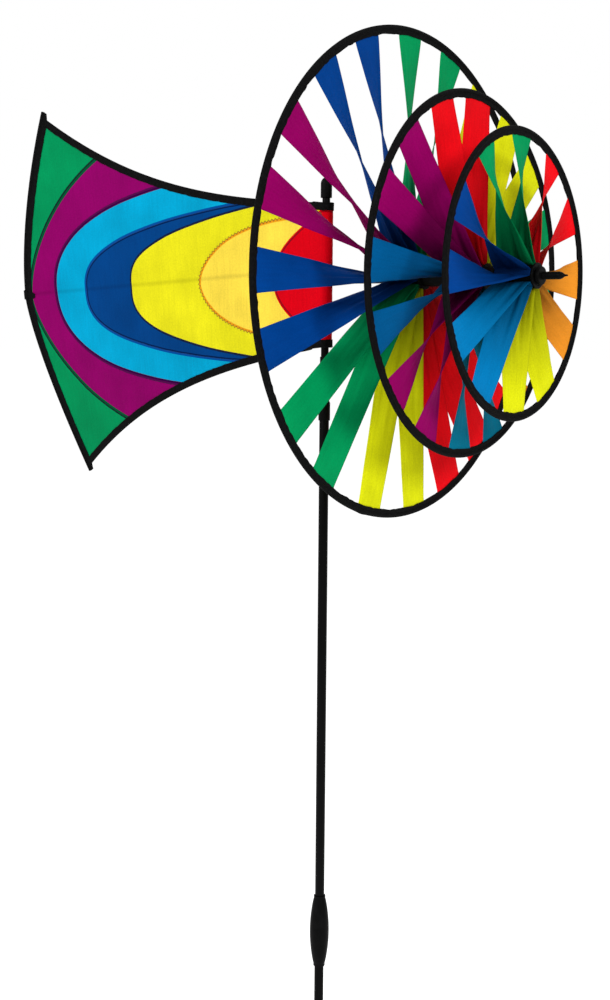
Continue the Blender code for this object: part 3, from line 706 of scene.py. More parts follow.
def ribbon_points(radius, wheel, middle_angle, slips, widths, bulge, seed):
    """A ribbon from the ring to the hub and back to the ring: rows along it, columns across it."""
    shared = (radius, wheel, middle_angle, bulge, seed)
    first, last = (ribbon_leg(*leg, *shared) for leg in zip((-1, 1), slips, widths))
    turn = math.pi / wheel["pairs"] * np.linspace(-0.5, 0.5, 5)[1:-1, None]
    round_hub = RIBBON_ROOT_RADIUS * np.cos(turn), RIBBON_ROOT_RADIUS * np.sin(turn)
    fold = table(wheel["twist"] * RIBBON_ACROSS * RIBBON_ROOT_HALF_WIDTH, *round_hub)
    points = np.concatenate([first[::-1], fold, last])
    along = np.linspace(0, 1, LEG_ROWS) * (radius - RIBBON_ROOT_RADIUS)
    length = np.concatenate([-along[::-1], turn[:, 0] * RIBBON_ROOT_RADIUS * 0.1, along])
    return points, table(RIBBON_ACROSS * RIBBON_ROOT_HALF_WIDTH, length[:, None])


def ribbons(name, place, radius, wheel):
    for index, colour in enumerate(wheel["colours"]):
        seed = 1.3 * index + radius * 40
        bulge = RIBBON_BULGE * math.sin(2.4 * index + radius * 60)
        middle_angle = math.radians(wheel["first"]) + index * 2 * math.pi / wheel["pairs"]
        key = f"{name}_{index + 1}"
        slips = LEG_SLIPS.get(key, (0.0, 0.0))
        widths = LEG_WIDTHS.get(key, (1.0, 1.0))
        points, flat = ribbon_points(radius, wheel, middle_angle, slips, widths, bulge, seed)
        placed = on_wheel(points, place, middle_angle)
        piece_name = f"{name}_nylon_ribbon_{index + 1}"
        mesh = grid_mesh(piece_name, placed, flat + [index * 0.31, 0.0])
        dyed = CLOTHS[DARKER_BOLTS.get(key, colour)]
        piece = finished(piece_name, mesh, f"{name}_wheel", f"{colour}_cloth", [dyed])
        thicken(piece, RIBBON_THICKNESS)
        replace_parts(piece, f"{name}_ribbon_{index + 1}")


def hub(name, place):
    """A moulded hub: a flange at each end, a shallow recess in its faces, and a boss round the bore."""
    low, high = spread(f"{name}_hub", 0)
    half = (high - low) / 2
    flange = radius_of(f"{name}_hub", 2)
    recess = half - HUB_RECESS
    front = [
        (AXLE_BORE, half),
        (HUB_BOSS, half),
        (HUB_BOSS + 0.0004, recess),
        (HUB_RIM - 0.0004, recess),
        (HUB_RIM, half),
        (flange, half),
        (flange, half - HUB_FLANGE),
        (HUB_RADIUS, half - HUB_FLANGE),
    ]
    profile = front + [(reach, -ahead) for reach, ahead in reversed(front)]
    at = (place, 0, AXLE_HEIGHT)
    piece, node, body = f"{name}_moulded_hub", f"{name}_hub", f"{name}_wheel"
    turned_piece(piece, node, body, MOULDED, profile, at, AHEAD, FINE_ROUND)


def wheels():
    for seed, (name, wheel) in enumerate(WHEELS.items()):
        place = middle(f"{name}_ring_tape", 0)
        radius = radius_of(f"{name}_ring_tape", 2) - BAND_WIDTH / 2
        ring_band(name, place, radius, seed, wheel)
        hub(name, place)
        ribbons(name, place, radius, wheel)


# Tail


def tail_half_height(back):
    """The tail's half height this far behind the mast: narrow at the mast, flaring to the corners."""
    t = back / TAIL_CORNER
    rise = TAIL_HALF_AT_CORNER - TAIL_HALF_AT_MAST
    start = TAIL_SLOPE_AT_MAST * TAIL_CORNER
    finish = TAIL_SLOPE_AT_CORNER * TAIL_CORNER
    curve = start * (t**3 - 2 * t**2 + t) + rise * (3 * t**2 - 2 * t**3) + finish * (t**3 - t**2)
    return TAIL_HALF_AT_MAST + curve


def tail_place(back, height, off=0.0):
    """A point of the tail, from its distance behind the mast and its height from the centre line. off is
    along the cloth's far side. The cloth twists about its centre line towards the trailing edge."""
    twist = TAIL_TWIST * back / TAIL_CORNER
    centre = Vector((-back, -TAIL_OFFSET, AXLE_HEIGHT + TAIL_CENTRE - back * math.tan(TAIL_DROOP)))
    up = Vector((0, -math.sin(twist), math.cos(twist)))
    far = Vector((0, math.cos(twist), math.sin(twist)))
    return centre + up * height + far * off


def tail_bow(level):
    """How far behind the mast the trailing edge is, at a level from -1 to 1."""
    return TAIL_CORNER + TAIL_BOW * (1 - abs(level) ** TAIL_BOW_POWER)


def sleeve_walk():
    """The sleeve's section from where the flat cloth starts, round the mast, to its free end."""
    turn = math.radians(115)
    path = [Vector((-SLEEVE_FLAT_END, -0.0062))]
    arc_steps = 20
    for i in range(arc_steps + 1):
        angle = -turn + 2 * turn * i / arc_steps
        path.append(SLEEVE_RADIUS * Vector((math.cos(angle), math.sin(angle))))
    path += [Vector((-0.0125, 0.0066)), Vector((-SLEEVE_TAIL, 0.0052))]
    return path


SLEEVE = sleeve_walk()
SLEEVE_STEPS = [(b - a).length for a, b in zip(SLEEVE, SLEEVE[1:])]
SLEEVE_LENGTH = sum(SLEEVE_STEPS)
SHEET_FRONT = SLEEVE_FLAT_END - SLEEVE_LENGTH


def sheet_place(flat_back, height, off=0.0):
    """A point of the whole sheet from its place on the cloth laid flat. Below SLEEVE_FLAT_END the cloth
    goes round the mast."""
    if flat_back >= SLEEVE_FLAT_END:
        blend = min((flat_back - SLEEVE_FLAT_END) / SLEEVE_BLEND, 1.0)
        point = tail_place(flat_back, height, off)
        sleeve_side = Vector((0, SLEEVE[0].y + TAIL_OFFSET, 0))
        return point + sleeve_side * (1 - blend) ** 2
    left = SLEEVE_FLAT_END - flat_back
    for i, step in enumerate(SLEEVE_STEPS):
        if left <= step or i == len(SLEEVE_STEPS) - 1:
            along = (SLEEVE[i + 1] - SLEEVE[i]).normalized()
            spot = SLEEVE[i] + along * min(left, step)
            inner = Vector((-along.y, along.x)) * off
            return Vector((spot.x + inner.x, spot.y + inner.y, AXLE_HEIGHT + TAIL_CENTRE + height))
        left -= step


def billow(back, height):
    """The cloth's small fullness towards the near side, held down at the spar, the edges and the mast."""
    level = height / tail_half_height(min(back, TAIL_CORNER))
    reach = min(max(back / TAIL_CORNER, 0.0), 1.0)
    spar = abs(math.sin(math.pi * (level - 0.04)))
    free = math.sin(math.pi * reach) * spar * max(1 - level**4, 0)
    waves = 0.0012 * math.sin(9 * reach + 2.0 * level) + 0.0006 * math.sin(31 * reach - 4 * level)
    return -free * (0.0030 + waves)


def seam_edge(seam, back, side):
    """The seam's height this far behind the mast, above (side 1) or below (side -1) its centre line."""
    half = seam.half * max(1 - (max(back, 0) / seam.reach) ** seam.power, 0) ** seam.shape
    return seam.height + seam.rise * back + side * half


def within(seam, back, height):
    return back < seam.reach and seam_edge(seam, back, -1) < height < seam_edge(seam, back, 1)


def whole_seam(seam):
    """The seam's curve on the flat, which may run on past the cloth's edges."""
    fine = [SHEET_FRONT * (1 - i / 10) for i in range(10)]
    fine += [seam.reach * math.sin(math.pi / 2 * i / 400) for i in range(401)]
    upper = [(back, seam_edge(seam, back, 1)) for back in fine]
    return upper + [(back, seam_edge(seam, back, -1)) for back in reversed(fine[:-1])]


def seam_line(seam):
    """The seam on the flat cloth, from the top edge round its rear end to the bottom edge."""
    return resample([p for p in whole_seam(seam) if p[0] >= 0 and inside_outline(*p, 0.001)], 0.003)


def resample(points, spacing):
    """The same line with evenly spaced points."""
    points = np.array(points)
    lengths = walked(points)
    count = max(round(lengths[-1] / spacing), 1)
    marks = np.linspace(0, lengths[-1], count + 1)
    return np.stack([np.interp(marks, lengths, points[:, i]) for i in (0, 1)], -1)


def inside_outline(back, height, margin=0.0):
    half = tail_half_height(min(max(back, 0), TAIL_CORNER))
    level = min(abs(height) / TAIL_HALF_AT_CORNER, 1.0)
    return abs(height) < half - margin and back < tail_bow(level) - margin


def outline():
    """The cloth's edge on the flat, once round."""
    backs = [TAIL_CORNER * i / 90 for i in range(91)]
    top = [(SHEET_FRONT, TAIL_HALF_AT_MAST)] + [(back, tail_half_height(back)) for back in backs]
    rear = [(tail_bow(1 - i / 50), TAIL_HALF_AT_CORNER * (1 - i / 50)) for i in range(1, 100)]
    bottom = [(b, -h) for b, h in reversed(top)]
    return resample(top + rear + bottom + [top[0]], 0.004)[:-1]


def cloth_at(back, height):
    for seam in SEAMS:
        if within(seam, back, height):
            return seam.cloth
    return OUTER_CLOTH


def patch_mesh(lines):
    """The flat cloth cut into triangles along its outline, its seams and the window for the axle."""
    spots, links = [], []

    def chain(points, closed):
        start = len(spots)
        spots.extend(tuple(p) for p in points)
        links.extend((start + i, start + i + 1) for i in range(len(points) - 1))
        if closed:
            links.append((len(spots) - 1, start))

    chain(outline(), True)
    for line in lines:
        chain(line, False)
    taken = np.array(spots)
    for row in range(-45, 46):
        for column in range(110):
            spot = (SHEET_FRONT + (column + (row % 2) / 2) * SHEET_SPACING, row * SHEET_SPACING * 0.866)
            if not inside_outline(*spot, 0.002) or spot[0] < SHEET_FRONT + 0.002:
                continue
            if np.min(np.sum((taken - spot) ** 2, axis=1)) > (0.55 * SHEET_SPACING) ** 2:
                spots.append(spot)
    found = delaunay_2d_cdt([Vector(s) for s in spots], links, [], 0, 1e-7)
    return np.array([tuple(v) for v in found[0]]), [tuple(f) for f in found[2]]


def in_window(back, height):
    """The opening in front of the mast, where the axle's boss comes through the sleeve."""
    centre = SLEEVE_FLAT_END - SLEEVE_LENGTH / 2 + WINDOW_FORWARD
    return abs(back - centre) < WINDOW_LENGTH / 2 and abs(height) < WINDOW_HALF


def tail_cloth():
    """The patchwork sheet: one mesh, with each coloured cloth as a material and its seams as edges."""
    lines = [seam_line(seam) for seam in SEAMS]
    spots, faces = patch_mesh(lines)
    names = [seam.cloth for seam in SEAMS] + [OUTER_CLOTH]
    centres = [spots[list(face)].mean(axis=0) for face in faces]
    keep = [i for i, spot in enumerate(centres)
            if inside_outline(*spot) and spot[0] > SHEET_FRONT and not in_window(*spot)]
    points = [sheet_place(b, h, billow(b, h) if b > SLEEVE_FLAT_END else 0) for b, h in spots]
    mesh = bpy.data.meshes.new("tail_patchwork")
    mesh.from_pydata([tuple(p) for p in points], [], [faces[i] for i in keep])
    mesh.polygons.foreach_set("material_index", [names.index(cloth_at(*centres[i])) for i in keep])
    lay_flat(mesh, spots)
    for seam in SEAMS:
        away = mesh.attributes.new(f"from_{seam.cloth}", "FLOAT", "POINT")
        away.data.foreach_set("value", from_seam(spots, seam))
    shape = bmesh.new()
    shape.from_mesh(mesh)
    bmesh.ops.delete(shape, geom=[v for v in shape.verts if not v.link_faces], context="VERTS")
    shape.to_mesh(mesh)
    shape.free()
    piece = finished("tail_patchwork", mesh, "vane", "tail_cloth", [CLOTHS[name] for name in names])
    thicken(piece, TAIL_THICKNESS)
    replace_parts(piece, "tail_cloth")
    return piece, lines


def from_seam(spots, seam):
    """Each point's distance from the seam, below zero on the mast's side of it."""
    line = resample(whole_seam(seam), 0.0015)
    away = np.array([np.sqrt(((line - spot) ** 2).sum(axis=1).min()) for spot in spots])
    inside = [within(seam, *spot) for spot in spots]
    return np.where(inside, -away, away).astype(np.float32)


def tube_rings(path, first, second, radius, sides, flatness=1.0):
    """Points round a rod or a thread that runs along the path, flattened in its second direction."""
    angles = np.linspace(0, 2 * math.pi, sides, endpoint=False)
    wide, thick = radius * np.cos(angles), flatness * radius * np.sin(angles)
    return path[:, None] + wide[None, :, None] * first[:, None] + thick[None, :, None] * second[:, None]


def thread_rings(path, far, radius, sides):
    path = np.array(path)
    normals = np.array([far] * len(path))
    return tube_rings(path, np.cross(unit(np.gradient(path, axis=0)), normals), normals, radius, sides, 0.7)


def add_tube(shape, rings):
    """A closed tube through the rings of points."""
    made = [[shape.verts.new(tuple(p)) for p in ring] for ring in rings]
    sides = len(made[0])
    for first, second in zip(made, made[1:]):
        for i in range(sides):
            j = (i + 1) % sides
            shape.faces.new((first[i], first[j], second[j], second[i]))
    shape.faces.new(made[0][::-1])
    shape.faces.new(made[-1])


def zigzag(line, outside, shift, lift, far):
    swing = np.where(np.arange(len(line)) % 2 == 0, -ZIGZAG_SWING, ZIGZAG_SWING)[:, None]
    places = [sheet_place(b, h, lift + billow(b, h)) for b, h in line + outside * (shift + swing)]
    yield thread_rings(places, far, 0.00048, 5)


def straight_stitches(line, outside, shift, lift, far):
    """Short threads that dip into the cloth at both ends, and none at the cloth's edges."""
    beside = line + outside * shift
    for start, end in zip(beside, beside[1:]):
        spots = [start * (1 - s) + end * s for s in (0.10, 0.45, 0.80)]
        heights = [lift + far.y * extra for extra in (-0.0001, 0.00012, -0.0001)]
        if all(inside_outline(b, h, 0.004) and b > 0.004 for b, h in spots):
            places = [sheet_place(b, h, high + billow(b, h)) for (b, h), high in zip(spots, heights)]
            yield thread_rings(places, far, 0.00022, 4)


def seam_stitches(seam, line):
    """A row of stitches on both faces: a brown zigzag over the gold cloth's seam, and dark straight ones
    beside the others."""
    line = resample(line, STITCH_PITCH)
    tangent = unit(np.gradient(line, axis=0))
    outside = np.stack([tangent[:, 1], -tangent[:, 0]], -1)
    outside *= np.sign(outside[len(outside) // 2, 0])
    sewn, thread = (zigzag, BROWN_THREAD) if seam.cloth == "tail_gold" else (straight_stitches, DARK_THREAD)
    shape = bmesh.new()
    for face in (-1, 1):
        lift = face * (TAIL_THICKNESS / 2 + 0.00005)
        for rings in sewn(line, outside, seam.stitches, lift, Vector((0, face, 0))):
            add_tube(shape, rings)
    name = f"{seam.cloth}_stitches"
    return finished(name, mesh_of(name, shape), "vane", "tail_cloth", [thread])


def frames_along(points, inwards):
    """Each step's (point, inward, across) with the three directions square to one another."""
    points, inwards = np.array(points), np.array(inwards)
    along = unit(np.gradient(points, axis=0))
    inwards = unit(inwards - along * (inwards * along).sum(1, keepdims=True))
    return points, inwards, np.cross(along, inwards)


def folded_band(name, nodes, points, inwards, core, width, seed, end_taper=0.0):
    """A tape folded over an edge. The points are the middle of its core, which lies inside the fold. Over
    end_taper at each end its legs draw in to half their width."""
    points, inwards, across = frames_along(points, inwards)
    outer = core + HOOP_CLEARANCE + TAPE
    section = np.array(fold_outline(core, width - outer, TAIL_THICKNESS / 2 + 0.0003))
    along = walked(points)
    loose = np.clip(section[:, 0] / (width - outer), 0, 1) ** 1.5
    waves = wobble(along, seed, (230, 410, 660))
    inward = section[None, :, 0] + loose[None] * 0.0004 * waves[:, None]
    if end_taper:
        from_end = np.minimum(along, along[-1] - along) / end_taper
        inward = inward * np.where(inward > core, 0.5 + 0.5 * np.minimum(from_end, 1.0)[:, None], 1.0)
    over = section[None, :, 1] + loose[None] * 0.0002 * np.roll(waves, 5)[:, None]
    places = points[:, None] + inward[..., None] * inwards[:, None] + over[..., None] * across[:, None]
    mesh = grid_mesh(name, places, table(along[:, None], walked(section)[None, :]), False, True)
    shape = bmesh.new()
    shape.from_mesh(mesh)
    bmesh.ops.holes_fill(shape, edges=[e for e in shape.edges if e.is_boundary], sides=0)
    bmesh.ops.recalc_face_normals(shape, faces=shape.faces)
    shape.to_mesh(mesh)
    shape.free()
    piece = finished(name, mesh, "vane", "black_tape", [BLACK_TAPE])
    if nodes:
        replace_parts(piece, *nodes)
    return piece


def edge_bindings():
    """The tapes along the top and bottom edges, from the sleeve's free end to the corner."""
    end = TAIL_CORNER - 0.004
    track = [(SHEET_FRONT * (1 - i / 30) + 0.0004, TAIL_HALF_AT_MAST) for i in range(30)]
    track += [(end * i / 130, tail_half_height(end * i / 130)) for i in range(1, 131)]
    made = []
    for edge, side in (("top", 1), ("bottom", -1)):
        points = [sheet_place(b, side * (h - 0.0006)) for b, h in track]
        inwards = [sheet_place(b, side * (h - 0.004)) - p for (b, h), p in zip(track, points)]
        binding = (f"tail_{edge}_binding", [f"tail_{edge}_tape"])
        made.append(folded_band(*binding, points, inwards, 0.0004, EDGE_BAND, 2.0 + side))
    return made


def bow_track(levels):
    """The middle of the bow at each level, and the way into the cloth there."""
    inset = BOW_RADIUS + HOOP_CLEARANCE + TAPE
    points, inwards = [], []
    for level in levels:
        past = max(abs(level) - 1, 0) * TAIL_BOW * TAIL_BOW_POWER
        here = (tail_bow(min(abs(level), 1)) - past, level * TAIL_HALF_AT_CORNER)
        step = 0.004
        slope = TAIL_BOW * TAIL_BOW_POWER * min(abs(level), 1) ** (TAIL_BOW_POWER - 1) / TAIL_HALF_AT_CORNER
        tilt = Vector((-1.0, -math.copysign(slope, level))).normalized()
        near = tail_place(here[0] + tilt.x * step, here[1] + tilt.y * step)
        edge = tail_place(*here)
        inward = (near - edge).normalized()
        points.append(edge + inward * inset)
        inwards.append(inward)
    return points, inwards


def spar_pocket():
    """The short doubled tape round the bow that holds the spar's rear end."""
    middle_level = SPAR_ON_CLOTH / TAIL_HALF_AT_CORNER
    half = POCKET_HEIGHT / 2 / TAIL_HALF_AT_CORNER
    points, inwards = bow_track(np.linspace(middle_level - half, middle_level + half, 12))
    core = BOW_RADIUS + HOOP_CLEARANCE + TAPE + POCKET_SLACK
    return folded_band("spar_tip_pocket", [], points, inwards, core, POCKET_WIDTH, 3.0, POCKET_HEIGHT / 4)


def trailing_bow():
    """The sprung rod in its tape along the trailing edge."""
    end = 1 + TIP_REACH / TAIL_HALF_AT_CORNER
    points, inwards = bow_track(np.linspace(-end, end, 160))
    binding = ("tail_bow_binding", ["tail_bow_tape"])
    tape = folded_band(*binding, points, inwards, BOW_RADIUS, BOW_BAND, 5.0, TIP_TAPER)
    shape = bmesh.new()
    add_tube(shape, tube_rings(*frames_along(points, inwards), BOW_RADIUS, ROD_STEPS))
    rod = finished("tail_bow", mesh_of("tail_bow", shape), "vane", "black_rod", [ROD])
    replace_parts(rod, "tail_bow_rod")
    return tape


def tail():
    patchwork, lines = tail_cloth()
    stitches = [seam_stitches(seam, line) for seam, line in zip(SEAMS, lines)]
    bindings = [*edge_bindings(), trailing_bow(), spar_pocket()]
    flat_area()


def flat_area():
    """The area of the cut cloth, from its outline."""
    edge = outline()
    ahead = np.roll(edge, -1, axis=0)
    return abs(float((edge[:, 0] * ahead[:, 1] - ahead[:, 0] * edge[:, 1]).sum() / 2))


# Stand, mast and axle


def rod_profile(radius, length):
    return [(0, 0), (radius, 0), (radius, length), (0, length)]


def tube_profile(outer, inner, bottom, top):
    return [(outer, top), (outer, bottom), (inner, bottom), (inner, top)]


def heights(node):
    """The node's lowest and highest place, from the axle's height."""
    return (value - AXLE_HEIGHT for value in spread(node, 2))


def stand():
    bottom, top = spread("lower_pole", 2)
    radius = radius_of("lower_pole", 0)
    profile = rod_profile(radius, top - bottom)
    turned_piece("lower_pole_rod", "lower_pole", "stand", COATED, profile, (0, 0, bottom), UP)
    bottom, top = spread("upper_pole", 2)
    length, depth = top - bottom, spread("pivot_pin", 2)[0] - FIT - bottom
    profile = [(0, 0), (radius, 0), (radius, length), (PIN_BORE, length), (PIN_BORE, depth), (0, depth)]
    turned_piece("upper_pole_rod", "upper_pole", "stand", COATED, profile, (0, 0, bottom), UP)
    ferrule()
    stake()
    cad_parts["pivot_pin"].data.materials[0] = STEEL
    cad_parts["thrust_washer"].data.materials[0] = NYLON


def ferrule():
    """The spindle-shaped sleeve over the joint of the two pole sections, with a lip at each end."""
    bottom, top = spread("pole_ferrule", 2)
    half = (top - bottom) / 2
    swell = radius_of("pole_ferrule", 0) - FERRULE_END
    bore = radius_of("lower_pole", 0) + FIT
    profile = [(FERRULE_END, half), (FERRULE_END, half - FERRULE_LIP)]
    steps = 28
    for i in range(1, steps):
        reach = FERRULE_END + swell * math.sin(math.pi * i / steps) ** 0.8
        profile.append((reach, (half - FERRULE_LIP) * (1 - 2 * i / steps)))
    profile += [(FERRULE_END, FERRULE_LIP - half), (FERRULE_END, -half), (bore, -half), (bore, half)]
    at = (0, 0, middle("pole_ferrule", 2))
    turned_piece("pole_joint_ferrule", "pole_ferrule", "stand", MOULDED, profile, at, UP, FINE_ROUND)


def fin(turn, bottom, top):
    """A tapering plate either side of the spike, with softened edges."""
    corners = [(-FIN_REACH, top), (-FIN_TOE, bottom), (FIN_TOE, bottom), (FIN_REACH, top)]
    half = FIN_THICKNESS / 2
    shape = bmesh.new()
    near, far = ([shape.verts.new((x, y, z)) for x, z in corners] for y in (-half, half))
    shape.faces.new(near)
    shape.faces.new(far[::-1])
    for i, j in ((0, 1), (1, 2), (2, 3), (3, 0)):
        shape.faces.new((near[j], near[i], far[i], far[j]))
    bmesh.ops.bevel(shape, geom=shape.edges[:], offset=0.0006, segments=3, affect="EDGES")
    bmesh.ops.rotate(shape, verts=shape.verts, matrix=Matrix.Rotation(turn, 3, "Z"))
    return mesh_of("stake_fin", shape)


def stake():
    """A ribbed socket for the pole on a round flange, and a spike with two crossed fins."""
    bottom, top = spread("ground_stake", 2)
    flange = radius_of("ground_stake", 0)
    bore = radius_of("lower_pole", 0) + SLIDING_FIT
    floor = spread("lower_pole", 2)[0] - FIT
    profile = [(0.0085, top), (0.0088, top - 0.003), (0.0085, top - 0.006)]
    profile += [(0.0092, 0.014), (0.0125, 0.0080), (flange - 0.002, 0.0050), (flange, 0.0035), (flange, 0)]
    profile += [(0.0060, 0), (0.0045, bottom + 0.025), (0, bottom), (0, floor), (bore, floor), (bore, top)]
    meshes = [turned_mesh("stake_body", profile, (0, 0, 0), UP, MOULD_ROUND)]
    meshes += [fin(turn, bottom + 0.012, -0.0080) for turn in (0.0, math.pi / 2)]
    mesh = sharpen(joined("finned_stake", meshes))
    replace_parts(finished("finned_stake", mesh, "stand", "black_plastic", [PLASTIC]), "ground_stake")


def mast():
    bottom, top = heights("mast_tube")
    radius = radius_of("mast_tube", 0)
    profile = tube_profile(radius, MAST_BORE, bottom, top)
    turned_piece("mast_sleeve_tube", "mast_tube", "vane", COATED, profile, HEAD, UP)
    swivel_collar(bottom - FIT, radius + FIT)
    mast_cap(top + FIT, radius + FIT)
    axle_fitting(radius + FIT)


def swivel_collar(shoulder, clear):
    """A skirt over the pole's top, and a neck round the mast's foot, which stands on the shoulder."""
    low, high = heights("swivel_collar")
    reach = radius_of("swivel_collar", 0)
    skirt = radius_of("lower_pole", 0) + COLLAR_SKIRT_GAP
    seat = shoulder + COLLAR_SEAT
    profile = [(COLLAR_NECK, high), (COLLAR_NECK + 0.0002, low + 0.021), (reach, low + 0.019), (reach, low)]
    profile += [(skirt, low), (skirt, shoulder), (MAST_BORE, shoulder), (MAST_BORE, seat), (clear, seat)]
    profile.append((clear, high))
    turned_piece("pole_swivel_collar", "swivel_collar", "vane", MOULDED, profile, HEAD, UP, FINE_ROUND)


def mast_cap(inside, clear):
    """A domed cap over the mast's top. Its roof's inner face is at inside."""
    low, high = heights("mast_cap")
    reach = radius_of("mast_cap", 0)
    dome = high - inside - 0.001
    profile = [(0, high)]
    for i in range(1, 13):
        angle = math.pi / 2 * (1 - i / 12)
        profile.append((reach * math.cos(angle), high - dome * (1 - math.sin(angle))))
    profile += [(reach, low), (clear, low), (clear, inside), (0, inside)]
    turned_piece("mast_end_cap", "mast_cap", "vane", MOULDED, profile, HEAD, UP, MOULD_ROUND)


def axle_fitting(bore):
    """The moulded tee on the mast: a barrel with beads at its ends, and a flared boss for each rod."""
    bottom, top = heights("axle_fitting")
    barrel = radius_of("axle_fitting", 1)
    waist, slope = barrel - TEE_WAIST, TEE_BEAD + TEE_WAIST
    profile = [(barrel, top), (barrel, top - TEE_BEAD), (waist, top - slope), (waist, bottom + slope)]
    profile += [(barrel, bottom + TEE_BEAD), (barrel, bottom), (bore, bottom), (bore, top)]
    meshes = [turned_mesh("fitting_barrel", profile, HEAD, UP, FINE_ROUND)]
    rear, front = spread("axle_fitting", 0)
    start = bore + 0.0004
    spar_bore = radius_of("tail_spar", 1) + SLIDING_FIT
    bosses = (
        (0.0051, 0.0062, AXLE_BORE, front, Vector(AHEAD), 0.0),
        (0.0036, 0.0044, spar_bore, -rear, SPAR_DIRECTION, SPAR_HEIGHT),
    )
    for reach, root, inside, length, direction, height in bosses:
        flared = start + (length - start) * 0.4
        profile = [(reach, length), (reach, flared), (root, start), (inside, start), (inside, length)]
        at = Vector(HEAD) + Vector((0, 0, height))
        meshes.append(turned_mesh("fitting_boss", profile, at, direction, FINE_ROUND))
    mesh = sharpen(joined("moulded_tee", meshes))
    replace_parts(finished("moulded_tee", mesh, "vane", "black_plastic", [PLASTIC]), "axle_fitting")


def axle_pieces():
    """The rod through the wheels, the spacers between them, and the collar and nib that end it."""
    for name in ("rear_spacer", "middle_spacer", "front_spacer", "stop_collar"):
        low, high = spread(name, 0)
        profile = tube_profile(radius_of(name, 2), AXLE_BORE, 0, high - low)
        turned_piece(f"{name}_bush", name, "vane", MOULDED, profile, (low, 0, AXLE_HEIGHT), AHEAD)
    low, tip = spread("axle", 0)
    profile = rod_profile(radius_of("axle", 2), tip - low)
    turned_piece("axle_rod", "axle", "vane", COATED, profile, (low, 0, AXLE_HEIGHT), AHEAD)
    low, high = spread("axle_nib", 0)
    reach, length, inside = radius_of("axle_nib", 2), high - low, tip - low + FIT
    profile = [(0, length), (0.0007, length - 0.0002), (0.0012, length - 0.0035), (0.0027, length - 0.0055)]
    profile += [(reach, length - 0.0085), (reach, 0), (AXLE_BORE, 0), (AXLE_BORE, inside), (0, inside)]
    at = (low, 0, AXLE_HEIGHT)
    turned_piece("axle_end_nib", "axle_nib", "vane", MOULDED, profile, at, AHEAD, 0.0006)


def along_spar(node):
    """Where a node on the spar starts and ends, along the spar from the mast."""
    low, high = spread(node, 0)
    return -high / math.cos(SPAR_DROOP), -low / math.cos(SPAR_DROOP)


def spar():
    """The spar behind the tail cloth and the cap over its rear end."""
    start = Vector(HEAD) + Vector((0, 0, SPAR_HEIGHT))
    first, last = along_spar("tail_spar")
    radius = radius_of("tail_spar", 1)
    profile, at = rod_profile(radius, last - first), start + SPAR_DIRECTION * first
    turned_piece("tail_spar_rod", "tail_spar", "vane", COATED, profile, at, SPAR_DIRECTION)
    first, last = along_spar("spar_end_cap")
    length, reach, bore = last - first, radius_of("spar_end_cap", 1), radius + SLIDING_FIT
    profile = [(0, length), (reach, length), (reach, 0), (bore, 0), (bore, CAP_DEPTH), (0, CAP_DEPTH)]
    at = start + SPAR_DIRECTION * first
    turned_piece("spar_tip_cap", "spar_end_cap", "vane", MOULDED, profile, at, SPAR_DIRECTION, SOFT_ROUND)


# Camera, light and floor


def camera():
    data = bpy.data.cameras.new("camera")
    data.sensor_width = 36.0
    data.lens = CAMERA_LENS
    back = CAMERA_BACK.normalized()
    up = back.cross(CAMERA_RIGHT).normalized()
    turn = Matrix((up.cross(back), up, back)).transposed().to_4x4()
    large_ring = Vector((middle("large_ring_tape", 0), 0, AXLE_HEIGHT))
    made = in_scene("camera", data)
    made.matrix_world = Matrix.Translation(large_ring + CAMERA_FROM_LARGE_RING) @ turn
    bpy.context.scene.camera = made


def area_light(name, place, size, power):
    data = bpy.data.lights.new(name, "AREA")
    data.size = size
    data.energy = power
    lamp = in_scene(name, data)
    lamp.location = place
    lamp.rotation_mode = "QUATERNION"
    lamp.rotation_quaternion = (Vector(place) - Vector(LIGHT_AIM)).to_track_quat("Z", "Y")


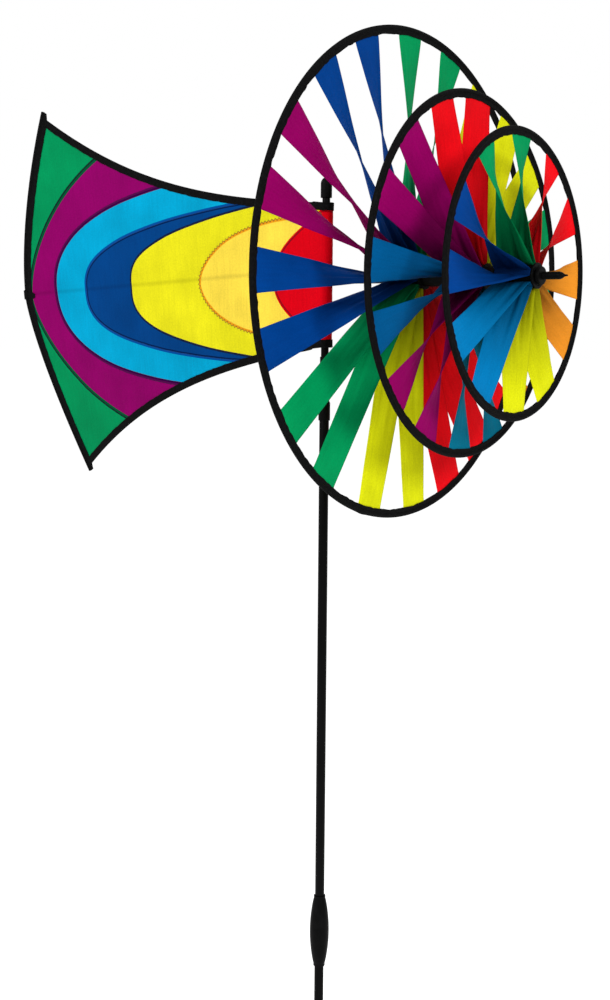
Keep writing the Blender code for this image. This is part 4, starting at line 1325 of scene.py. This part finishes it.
def studio():
    world = bpy.data.worlds.new("studio")
    bpy.context.scene.world = world
    world.use_nodes = True
    sky = world.node_tree.nodes["Background"].inputs
    sky["Color"].default_value = (1, 1, 1, 1)
    sky["Strength"].default_value = 1.0
    for light in LIGHTS:
        area_light(*light)
    nodes = Nodes("pale_floor")
    tone = nodes.noise(nodes.add("ShaderNodeTexCoord").outputs["Object"], 0.8, 2.0)
    nodes.link(nodes.ranged(tone, 0.3, 0.7, 0.95, 0.98), nodes.shader.inputs["Base Color"])
    nodes.set(Roughness=1.0, Specular_IOR_Level=0.0, Emission_Color=(1, 1, 1, 1), Emission_Strength=0.07)
    mesh = bpy.data.meshes.new("studio_floor")
    corners = [(x * FLOOR_HALF, y * FLOOR_HALF, 0) for x, y in ((-1, -1), (1, -1), (1, 1), (-1, 1))]
    mesh.from_pydata(corners, [], [(0, 1, 2, 3)])
    mesh.materials.append(nodes.material)
    in_scene("studio_floor", mesh)
    bpy.context.scene.view_settings.view_transform = "Standard"


# Where the edge of one cloth shows dark through another, or shades it: for each cloth, the seam, the lower
# and upper distance outside it, and the colour there
OVERLAPS = {
    "tail_green": [
        ("tail_purple", -0.001, 0.0050, srgb(0, 70, 42)),
        ("tail_purple", 0.0032, 0.0052, srgb(0, 32, 26)),
    ],
    "tail_purple": [
        ("tail_cyan", -0.001, 0.0050, srgb(74, 0, 65)),
        ("tail_cyan", 0.0006, 0.0024, srgb(36, 0, 50)),
    ],
    "tail_blue": [
        ("tail_blue", -0.0034, 0.001, srgb(0, 66, 134)),
        ("tail_blue", -0.0046, -0.0032, srgb(0, 22, 62)),
        ("tail_yellow", -0.001, 0.0022, srgb(7, 24, 54)),
    ],
    "tail_gold": [("tail_gold", -0.0030, 0.001, srgb(206, 138, 21))],
    "tail_red": [("tail_red", -0.0034, -0.0018, srgb(138, 0, 12))],
}
CLOTHS = {name: cloth(name, OVERLAPS.get(name, ()), name.startswith("tail_")) for name in DYES}
BLACK_TAPE = tape_material()
DARK_THREAD = thread_material("dark_thread", srgb(26, 16, 34))
BROWN_THREAD = thread_material("brown_thread", srgb(122, 66, 12))
DULL = {"Specular_IOR_Level": 0.03}
PLASTIC = hard_material("black_moulded_plastic", BLACK, srgb(10, 10, 11), 0.42, 2600.0, **DULL)
ROD = hard_material("black_coated_rod", BLACK, srgb(9, 9, 10), 0.34, 900.0, (1.0, 1.0, 0.08), **DULL)
BRIGHT, WORN = srgb(176, 178, 182), srgb(150, 152, 156)
STEEL = hard_material("bright_turned_steel", BRIGHT, WORN, 0.28, 1400.0, (1.0, 1.0, 6.0), Metallic=1.0)
NYLON = hard_material("white_moulded_nylon", srgb(226, 222, 212), srgb(206, 200, 188), 0.5, 2400.0)
MOULDED = ("black_plastic", PLASTIC)
COATED = ("black_rod", ROD)

camera()
studio()
stand()
mast()
axle_pieces()
spar()
wheels()
tail()
